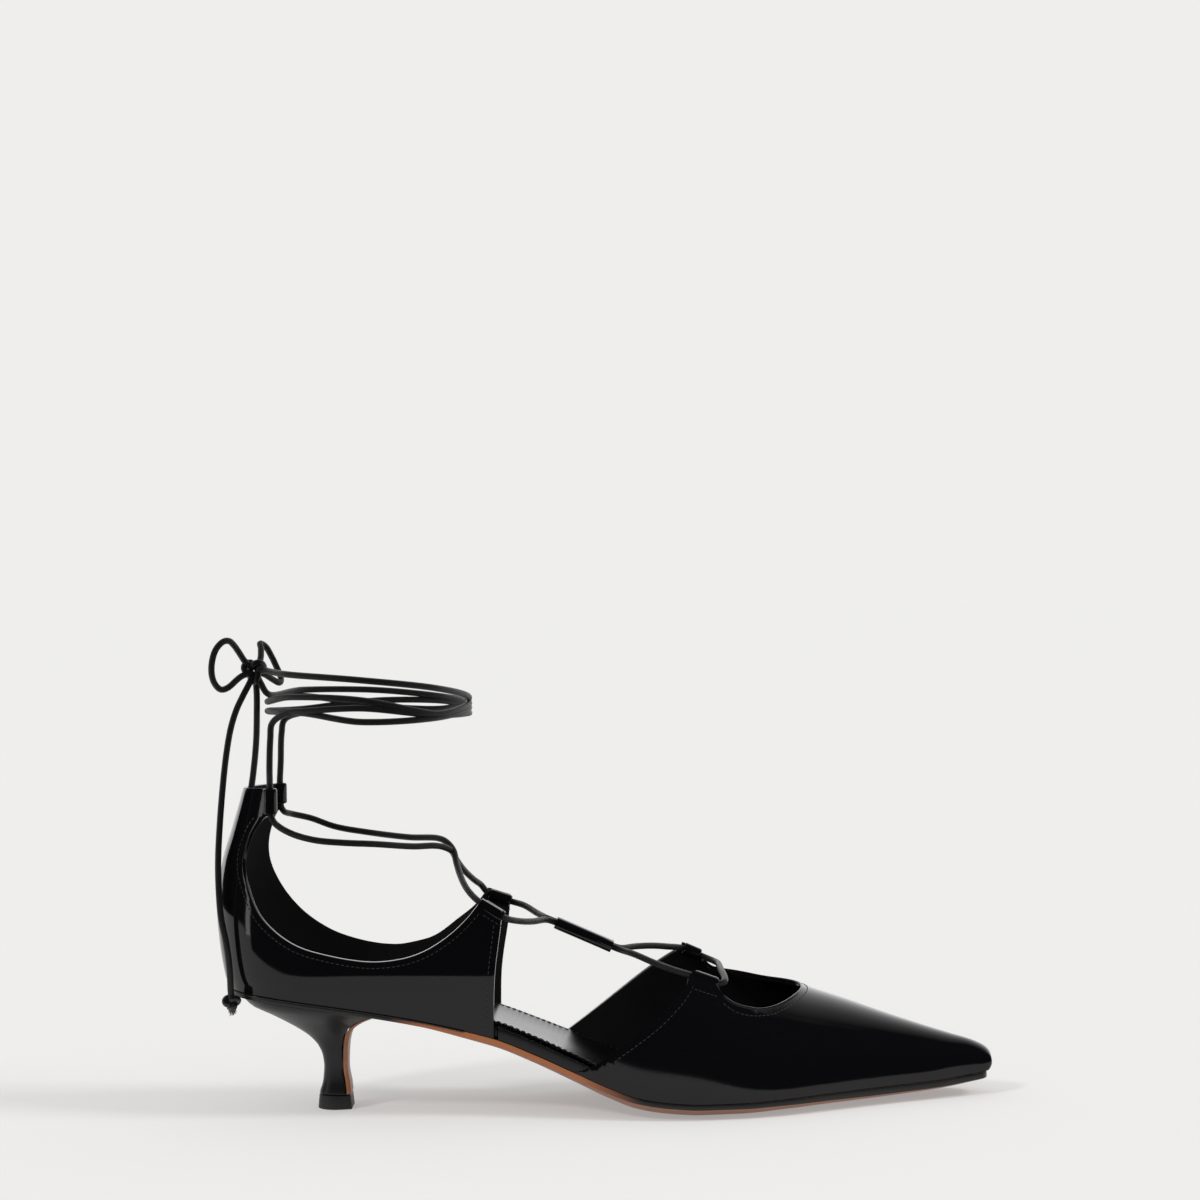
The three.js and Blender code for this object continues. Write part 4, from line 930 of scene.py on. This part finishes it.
upper_leather = leather("upper_leather", (0.0024, 0.0024, 0.0029), 0.07, 0.05, strength=0.025)
lining = flat_finish("lining", (0.006, 0.006, 0.0065), 0.7, 900.0, 0.15, Specular_IOR_Level=0.25)
edge_leather = leather("edge_leather", (0.0015, 0.0015, 0.0018), 0.28, 0.1)
sock_leather = leather("sock_leather", (0.003, 0.003, 0.0035), 0.26, 0.0, shine=0.2)
tan_leather = sole_leather()
sole_edge = sole_edge_paint()
heel_cover = leather("heel_cover", (0.006, 0.006, 0.0065), 0.38, 0.05)
lift_rubber = flat_finish("lift_rubber", (0.01, 0.01, 0.01), 0.55, 900.0, 0.3)
thread = flat_finish("thread", (0.012, 0.012, 0.013), 0.3, 2500.0, 0.3)
braid = cord_fabric()

# Laces
def lace(name, path, *nodes):
    points, faces, uv = tube_mesh(path, LACE / 2, 14)
    return filed(mesh_object(name, points, faces, braid, uv), "lace_cord", *nodes)


def free_lace(name, run, node, leaves, **facts):
    """A run of the lace that hangs or lies free from the point where it leaves."""
    lace(name, run, node)
    [c * MM for c in leaves]


def knotted(name, centre, size, node, frayed=False):
    """A tightened knot of the lace in a ball of the given size, with a frayed end below where asked."""
    reach = [(s - LACE) / 2 / 2.7 for s in size]
    path = np.array([
        (
            centre[0] + reach[0] * (math.sin(t) + 2 * math.sin(2 * t)) * 0.97,
            centre[1] + reach[1] * 1.7 * math.sin(3 * t),
            centre[2] + reach[2] * (math.cos(t) - 2 * math.cos(2 * t)) * 0.97,
        )
        for t in np.linspace(0, 2 * math.pi, 72, endpoint=False)
    ])
    parts = [tube_mesh(np.array([*path, path[0]]), LACE / 2, 12)[:2]]
    for i in range(14 if frayed else 0):
        turn = 2.4 * i
        spread = 0.5 + 0.55 * (i % 3)
        low = np.array((math.cos(turn) * spread, math.sin(turn) * spread, -3.4 - 0.35 * (i % 4)))
        top = np.array((math.cos(turn) * 0.5, math.sin(turn) * 0.5, -1.2))
        strand = through([top, (top + low) / 2 + (0.1, 0, 0), low], 0.5) + np.array(centre)
        parts.append(tube_mesh(strand, np.linspace(0.26, 0.12, len(strand)), 5)[:2])
    return filed(joined(name, parts, braid), "lace_cord", node)


for side, word in SIDES:
    bridge = ["lace_front_bridge"] if side < 0 else []
    lace(f"lacing_{word}", lacing(side), "lace_fore", "lace_rear", *bridge)

bow_knot = knotted("bow_knot_tied", BOW_KNOT, (8.8, 8.6, 9.6), "bow_knot")
end_knots = {
    side: knotted(f"end_knot_{word}_tied", END_KNOT[side], (6.4, 6.4, 6.1), f"end_knot_{word}", frayed=True)
    for side, word in SIDES
}

for side, word in SIDES:
    free_lace(
        f"ankle_cord_{word}", ankle_cord(side), "ankle_wrap", BACK_TUNNEL[side][1],
        far_end="knot", lay="loose", with_pieces=[bow_knot],
    )
    start, end = LOOP_ENDS[side]
    run = through([start, *LOOPS[side], end], 0.7)
    free_lace(f"bow_loop_{word}_cord", run, f"bow_loop_{word}", run[0], far_end="object", lay="loose")
    run = through([(-26, side * 0.6, 147.6), *TAILS[side], np.add(END_KNOT[side], INTO_KNOT[side])])
    free_lace(
        f"lace_end_{word}_cord", run, f"lace_end_{word}", run[0],
        far_end="knot", lay="hanging", with_pieces=[end_knots[side]],
    )


# Vamp
def vamp_outline():
    line = [vamp_from_side(-1, x, z) for x, z in smooth_line(VAMP_EDGE[-1])]
    line[0] = (line[0][0], 0.0)
    line += [vamp_from_side(-1, x, z) for x, z in spaced(FRONT_TAB[-1], 1)[1:]]
    throat = [eased(smooth_line(THROAT[side]), 12) for side in (-1, 1)]
    line += [vamp_from_above(x, y) for x, y in [*throat[0], *throat[1][::-1]]]
    line += [vamp_from_side(1, x, z) for x, z in spaced(FRONT_TAB[1], 1)[::-1]]
    line += [vamp_from_side(1, x, z) for x, z in smooth_line(VAMP_EDGE[1])[::-1][1:]]
    line[-1] = (line[-1][0], ARCH_SCALE * math.pi)
    tip = CAP_FROM + TIP_CAP * 0.97
    line += [(tip, ARCH_SCALE * math.pi), (tip, 0.0)]
    return line


trimmed_skin("vamp_leather", "upper_vamp", vamp_outline(), vamp_point, 1.0)


# Quarter
def quarter_bottom(u):
    v = 0.0
    for _ in range(6):
        v = feather(quarter_point(u, v)[0]) + 0.2 - SEAT_HEIGHT
    return (u, v)


def quarter_outline():
    sides = {}
    for side in (-1, 1):
        rows = [(along(0.0785), SEAT_HEIGHT + COUNTER), *smooth_line(TOPLINE[side], 90)]
        rows += [*spaced(MID_TAB[side], 1)[1:], *smooth_line(FRONT_EDGE[side])[1:]]
        rows = [quarter_from_side(side, x, z) for x, z in rows]
        sides[side] = [row for row in rows if row[1] > quarter_bottom(row[0])[1] + 0.3]
    outer, inner = sides[-1], sides[1]
    bottom = [quarter_bottom(u) for u in np.linspace(inner[-1][0], outer[-1][0], 160)]
    top = []
    for u in np.linspace(outer[0][0], inner[0][0], 60)[1:-1]:
        x = quarter_point(u, COUNTER)[0]
        share = 0.985 + 0.015 * (x - along(-0.1)) / (along(0.0785) - along(-0.1))
        top.append((u, share * COUNTER))
    return [*outer[::-1], *top, *inner, *bottom]


trimmed_skin("quarter_leather", "upper_quarter", quarter_outline(), quarter_point, 1.3, turned=True)

seam_path = [quarter_point(*quarter_bottom(u), -0.2) for u in np.linspace(-1.9 * SEAT_RUN, 1.9 * SEAT_RUN, 260)]
bead("seat_seam", [(x, y, z - 0.1) for x, y, z in seam_path], 0.3, 8)


# Folds that hold the lace
def fold(name, tunnel, thinner=0.0):
    """A roll of leather round a tunnel, with round lips at both ends."""
    a, b = (np.array(p, float) for p in tunnel)
    length = np.linalg.norm(b - a)
    run = (b - a) / length
    outer, inner, lip = TUNNEL / 2 - thinner, BORE / 2, 0.3
    profile = [
        (0.5, inner), (lip, inner + 0.02), (0.0, inner + lip), (0.0, outer - lip), (lip, outer - 0.05), (0.8, outer),
    ]
    profile += [(length - s, r) for s, r in reversed(profile)]
    cross = square_to(run)
    other = np.cross(run, cross)
    turns = np.linspace(0, 2 * math.pi, 28, endpoint=False)
    rings = [[a + run * s + r * (math.cos(t) * cross + math.sin(t) * other) for t in turns] for s, r in profile]
    filed(ring_skin(name, rings, upper_leather, looped=True), "upper_leather")


for side, word in SIDES:
    fold(f"front_fold_{word}", FRONT_TUNNEL[side], 0.15)
    fold(f"mid_fold_{word}", MID_TUNNEL[side], 0.3)
    fold(f"back_fold_{word}", BACK_TUNNEL[side])


# Sole, with its thickness along the shoe and its section across
sole_edge_share, sole_belly_share = columns(
    (0.0, 0.62, 0.0),
    (0.26, 0.62, 0.2),
    (0.34, 0.82, 0.55),
    (0.46, 0.78, 0.75),
    (0.58, 0.7, 1.0),
    (0.7, 0.75, 1.0),
    (0.85, 1.0, 0.7),
    (1.0, 0.9, 0.2),
)
# Shares of the half width, with the shares of the cup and of the belly that show there
SHARES, HANG, BELLY = (0.0, 0.5, 0.78, 0.93, 1.0), (1.0, 1.0, 0.62, 0.2, 0.0), (1.0, 1.0, 0.86, 0.45, 0.0)
ACROSS_SOLE = np.array([-1, -0.99, -0.93, -0.78, -0.62, -0.4, 0, 0.4, 0.62, 0.78, 0.93, 0.99, 1])
ACROSS_LAYER = np.array([-1, -0.97, -0.78, -0.5, -0.25, 0, 0.25, 0.5, 0.78, 0.97, 1])


def last_bottom(x, share):
    """The height of the last's bottom at a share of the half width."""
    return feather(x) - hang(x) * np.interp(abs(share), (0.5, 0.78, 1), (1, 0.62, 0))


def sole_under(x, share):
    s = share_at(x)
    low = feather(x) - SOLE_EDGE * sole_edge_share(s) - hang(x) * np.interp(share, SHARES, HANG)
    return max(0.0, low - SOLE_BELLY * sole_belly_share(s) * np.interp(share, SHARES, BELLY))


def sole_stations(start, end, pitch):
    """Places along the sole, closer at both round ends."""
    inside = np.linspace(start, end, int((end - start) / pitch))
    near_back = start + (inside[1] - start) * np.array([0.02, 0.1, 0.25, 0.5, 0.75])
    near_tip = end - (inside[1] - start) * np.array([0.75, 0.5, 0.3, 0.15, 0.06])
    return [start, *near_back, *inside[1:-1], *near_tip, end]


def sole_ring(x):
    half, mid = half_width(x), middle(x)
    top = [(x, mid + y * half, last_bottom(x, y)) for y in ACROSS_SOLE]
    low = [(x, mid + y * half, sole_under(x, abs(y))) for y in ACROSS_SOLE[::-1]]
    return [*top, *low]


sole_rings = [sole_ring(x) for x in sole_stations(along(0.0119), SOLE_TIP - 0.05, 2.0)]
outsole = ring_skin("outsole_leather", sole_rings, tan_leather)
outsole.data.materials.append(sole_edge)
for face in outsole.data.polygons:
    face.material_index = 1 if abs(face.normal.z) < 0.55 else 0
filed(rounded(outsole, 0.25, 50), "outsole_leather", "outsole")

# Heel
breast_front = reader(
    (0.0, 0.036), (0.18, 0.026), (0.34, 0.003), (0.5, 0.01), (0.6, 0.031), (0.68, 0.087), (0.74, 0.185), (0.8, 0.354)
)
heel_back, heel_half_share = columns(
    (0.0, 0.023, 0.245), (0.11, 0.02, 0.243), (0.23, 0.005, 0.21), (0.34, -0.005, 0.2), (0.42, 0.005, 0.212),
    (0.5, 0.038, 0.25), (0.58, 0.108, 0.33), (0.65, 0.208, 0.44), (0.72, 0.333, 0.58), (0.79, 0.472, 0.74),
    (0.86, 0.62, 0.86), (0.95, 0.713, 0.92),
)


def breast_x(z):
    return NECK["length"] / 2 + breast_front(z / SEAT_HEIGHT) * TIP_AT


def heel_half(z):
    wide = smoothstep(z / SEAT_HEIGHT, 0.4, 0.8)
    return heel_half_share(z / SEAT_HEIGHT) * (wide * SEAT / 2 + (1 - wide) * NECK["width"] / 0.4)


HEEL_FOOT = LIFT["height"] + SEAM
HEEL_LINES, CORNER = 33, 0.93


def heel_point(z, k):
    """A point of the heel's level section: the first and last lie at the breast's corners."""
    front = breast_x(z) - FLAP - 1.5 * SEAM
    foot = 0.75 * (1 - smoothstep(z, LIFT["height"], 2 * LIFT["height"]))
    back = -NECK["length"] / 2 - heel_back(z / SEAT_HEIGHT) * TIP_AT - foot
    half = heel_half(z) + 0.5 * foot
    if k in (0, HEEL_LINES - 1):
        return (front, half * CORNER * (1 if k == 0 else -1), z)
    deep = min(front - back, half * 1.25)
    turn = math.radians(90 + 180 * (k - 1) / (HEEL_LINES - 3))
    c, s = abs(math.cos(turn)), math.sin(turn)
    return (back + deep - deep * c ** 0.86, half * math.copysign(abs(s) ** 0.9, s), z)


def heel_top(k):
    """The height at which this line of the heel meets the sole."""
    def below(z):
        x, y, _ = heel_point(z, k)
        x = max(x, SEAT_BACK + 0.5)
        return z < sole_under(x, min(1.0, abs(y - middle(x)) / half_width(x))) - SEAM

    return bisected(0.4 * SEAT_HEIGHT, 1.1 * SEAT_HEIGHT, 24, below)


tops = [heel_top(k) for k in range(HEEL_LINES)]
heel_rings = [
    [heel_point(HEEL_FOOT + (top - HEEL_FOOT) * t, k) for k, top in enumerate(tops)] for t in np.linspace(0, 1, 30)
]
filed(rounded(ring_skin("heel_block", heel_rings, heel_cover), 0.5, 45, 3), "heel_cover", "heel")


def flap_ring(z):
    half, front, slant = heel_half(z) * CORNER, breast_x(z), 0.5
    back = front - FLAP
    return [(back, -half, z), (front, -half + slant, z), (front, half - slant, z), (back, half, z)]


flap_rings = [flap_ring(z) for z in np.linspace(HEEL_FOOT, 0.79 * SEAT_HEIGHT, 26)]
filed(rounded(ring_skin("breast_flap", flap_rings, tan_leather), 0.25, 40), "outsole_leather")


def lift_ring(z):
    grow = 0.3 - 0.1 * z
    front, half = LIFT["length"] / 2, LIFT["width"] / 2 + grow
    ring = [(front + grow, -half * 0.86, z), (front + grow, half * 0.86, z)]
    for turn in np.linspace(math.pi / 2, 3 * math.pi / 2, 25):
        ring.append((front * 0.1 + (LIFT["length"] * 0.6 + grow) * math.cos(turn), half * math.sin(turn), z))
    return ring


lift = ring_skin("heel_lift", [lift_ring(LIFT["height"] * share) for share in (0, 0.5, 1)], lift_rubber)
filed(rounded(lift, 0.35, 40, 3), "top_lift", "top_lift")


# Board and sock
board_share = reader((0.0, 0.8), (0.36, 1.05), (0.46, 1.05), (0.56, 0.7), (0.7, 0.5), (1.0, 0.36))
INSIDE = WALL + 2 * SEAM
WAIST = {-1: (along(0.3635), along(0.48)), 1: (along(0.3635), along(0.445))}


def toe_inset(x):
    """How much further in the board and the sock end towards the toe."""
    return 1.6 * smoothstep(share_at(x), 0.78, 0.95)


def board_inset(x, side):
    low, high = WAIST[side]
    at_waist = smoothstep(x, low - 0.2, low + 0.2) * (1 - smoothstep(x, high - 0.2, high + 0.2))
    return INSIDE + (0.2 - INSIDE) * at_waist + toe_inset(x)


def layer_ring(x, low, high, inset):
    """A section of a layer that lies on the last's bottom; inset gives its distance from the edge on each side."""
    def point(y, height):
        half = half_width(x, inset(-1 if y < 0 else 1))
        return (x, middle(x) + y * half, last_bottom(x, y) + height)

    return [*(point(y, high) for y in ACROSS_LAYER), *(point(y, low) for y in ACROSS_LAYER[::-1])]


def board_top(x):
    return BOARD * board_share(share_at(x))


board_stations = sorted([
    *sole_stations(SEAT_BACK + INSIDE, along(0.965), 2.5),
    *(x + d for low, high in WAIST.values() for x in (low, high) for d in (-0.2, 0, 0.2)),
])
board_rings = [layer_ring(x, SEAM, board_top(x), lambda side: board_inset(x, side)) for x in board_stations]
board = ring_skin("board_cover", board_rings, edge_leather)
filed(rounded(board, 0.4, 40, 3), "insole_wrap", "insole_board")

PINK = 1.0
SOCK_INSET = INSIDE + 0.9


def sock_ring(x, tooth):
    low = board_top(x) + SEAM
    return layer_ring(x, low, low + SOCK, lambda side: SOCK_INSET + toe_inset(x) + tooth)


sock_places = np.arange(along(0.035) + INSIDE, along(0.9), 0.85)
sock_rings = [sock_ring(x, PINK * (i % 2)) for i, x in enumerate(sock_places)]
filed(ring_skin("sock_leather_sheet", sock_rings, sock_leather), "sock_leather", "sock_liner")


# Keeper
KEEPER_LENGTH, KEEPER_SHARES = 20.8, (-0.5, -0.49, -0.3, 0, 0.3, 0.49, 0.5)


def keeper_rings(width, thickness, shares):
    a, b = np.array(KEEPER_FRONT, float), np.array(KEEPER_REAR, float)
    run = (b - a) / np.linalg.norm(b - a)
    up = np.cross((0, 1, 0), run)
    rings = []
    for t in shares:
        ring = []
        for turn in np.linspace(0, 2 * math.pi, 28, endpoint=False):
            c, s = math.cos(turn), math.sin(turn)
            y = math.copysign(abs(c) ** 0.5, c) * width / 2
            z = math.copysign(abs(s) ** 0.6, s) * thickness / 2
            ring.append((a + b) / 2 + run * t * KEEPER_LENGTH + np.array((0, y, 0)) + up * z)
        rings.append(ring)
    return rings


sleeve = [*keeper_rings(8.2, 4.2, KEEPER_SHARES), *keeper_rings(6.5, 3.2, KEEPER_SHARES[::-1])]
keeper = rounded(ring_skin("keeper_sleeve", sleeve, upper_leather, looped=True), 0.25, 50)
filed(keeper, "upper_leather", "lace_keeper")


# Rows of stitches
def shifted(line, by):
    """A flat line moved sideways."""
    line = np.array(line, float)
    run = np.gradient(line, axis=0)
    run /= np.linalg.norm(run, axis=1)[:, None]
    return line + by * np.stack([-run[:, 1], run[:, 0]], axis=1)


ON_TOP = -0.05


def on_quarter(side, line):
    return [quarter_point(*quarter_from_side(side, x, z), ON_TOP) for x, z in line]


def on_vamp(side, line):
    return [vamp_point(*vamp_from_side(side, x, z), ON_TOP) for x, z in line]


for side, word in SIDES:
    row = shifted(smooth_line(TOPLINE[side], 90), -2.0)[4:-3]
    stitches(f"topline_stitches_{word}", on_quarter(side, row))
    # Rows beside an edge, up to one end of its tab, and down from the tab's top
    for place, edge, beside, tab_name, tab, end, down in (
        (on_quarter, "front_edge", shifted(smooth_line(FRONT_EDGE[side]), -2.2), "mid_tab", MID_TAB[side], 1, 5.2),
        (on_vamp, "vamp_edge", shifted(smooth_line(VAMP_EDGE[side]), -2.4), "front_tab", FRONT_TAB[side], 0, 5.6),
    ):
        row = [(x, z) for x, z in beside if feather(x) + 2 < z < tab[end][1] - 4]
        stitches(f"{edge}_stitches_{word}", place(side, row))
        row = [(x, z - down) for x, z in spaced(tab, 1)]
        stitches(f"{tab_name}_stitches_{word}", place(side, row), pitch=1.5, length=1.1)

for side, word in SIDES:
    row = []
    for x in np.arange(along(0.06), along(0.88), 1.5):
        half = half_width(x, SOCK_INSET + toe_inset(x)) - 2.0
        low = last_bottom(x, half / half_width(x, SOCK_INSET))
        row.append((x, middle(x) + side * half, low + board_top(x) + SEAM + SOCK + 0.08))
    stitches(f"sock_stitches_{word}", row, 2.2, 1.5, 0.22, "sock_leather")

throat_line = eased(spaced([*smooth_line(THROAT[-1])[4:], *smooth_line(THROAT[1])[::-1][:-4]], 1.5), 4)
bead("throat_bead", spaced([vamp_point(*vamp_from_above(x, y), 0.15) for x, y in throat_line], 1), 0.5, 12)
row = [vamp_point(*vamp_from_above(x, y), ON_TOP) for x, y in shifted(throat_line, -1.9)]
stitches("throat_stitches", row)


# ---- floor, backdrop and lights

def stage_plane(name, corners, paint, seen=True):
    """A flat sheet of the stage. One that isn't seen shows in the shoe's polish alone."""
    mesh = bpy.data.meshes.new(name)
    mesh.from_pydata(corners, [], [(0, 1, 2, 3)])
    mesh.materials.append(paint.material)
    plane = bpy.data.objects.new(name, mesh)
    bpy.context.collection.objects.link(plane)
    plane.visible_camera = plane.visible_diffuse = plane.visible_shadow = seen


# The floor gives back most of the surround's light and glows by the rest, so that it has no horizon.
paper = Finish(
    "paper_paint", (0.38, 0.38, 0.38), 1.0,
    Specular_IOR_Level=0.0, Emission_Color=(*PAPER, 1), Emission_Strength=0.368,
)
stage_plane("floor", [(-40, -40, 0), (40, -40, 0), (40, 40, 0), (-40, 40, 0)], paper)

# Black cards in front, which only the shoe's polish shows: the floor's glow ends at them in a sharp line.
black = Finish("card_paint", (0, 0, 0), 1.0, Specular_IOR_Level=0.0)
for name, (xa, ya, za), (xb, yb, zb) in (
    ("far", (-3, -0.5, 0), (3, -0.7, 0)), ("near", (-0.12, -0.05, 0.0375), (0.09, -0.05, 0.0392))
):
    stage_plane(f"black_card_{name}", [(xa, ya, za), (xb, yb, zb), (xb, yb, 2.5), (xa, ya, 2.5)], black, seen=False)

# A tall panel behind the shoe that fades out overhead: it gives the ridge its soft shine.
glow = Finish("glow_paint", (0, 0, 0), 1.0, Specular_IOR_Level=0.0, Emission_Strength=1.5)
fade = ((0, (1.0, 1.0, 1.0)), (0.3, (0.95, 0.95, 0.95)), (0.7, (0.3, 0.3, 0.3)), (1, (0, 0, 0)))
glow.feed("Emission Color", glow.ramp(glow.axis("Generated", "Z"), *fade))
stage_plane("glow_panel", [(-2.5, 2.6, 0.04), (2.7, 2.6, 0.04), (2.7, 0.6, 2.5), (-2.5, 0.6, 2.5)], glow, seen=False)

# A soft strip on the left that only the polish shows, and two far lamps for the floor's soft shadows
strip_at, radiance, width, height = Vector((-1.3, -0.35, 0.4)), 2.5, 0.16, 0.9
strip = lamp(
    "left_strip", "AREA", Vector((-0.02, 0, 0.08)) - strip_at,
    shape="RECTANGLE", size=width, size_y=height, energy=radiance * math.pi * width * height,
)
strip.location = strip_at
strip.visible_camera = strip.visible_diffuse = False
for name, place, strength, angle in (
    ("from_right", (0.9, -0.25, 0.8), 1.6, 18), ("from_left", (-0.75, -0.7, 0.8), 1.2, 9)
):
    lamp(name, "SUN", -Vector(place), energy=strength, angle=math.radians(angle)).visible_glossy = False
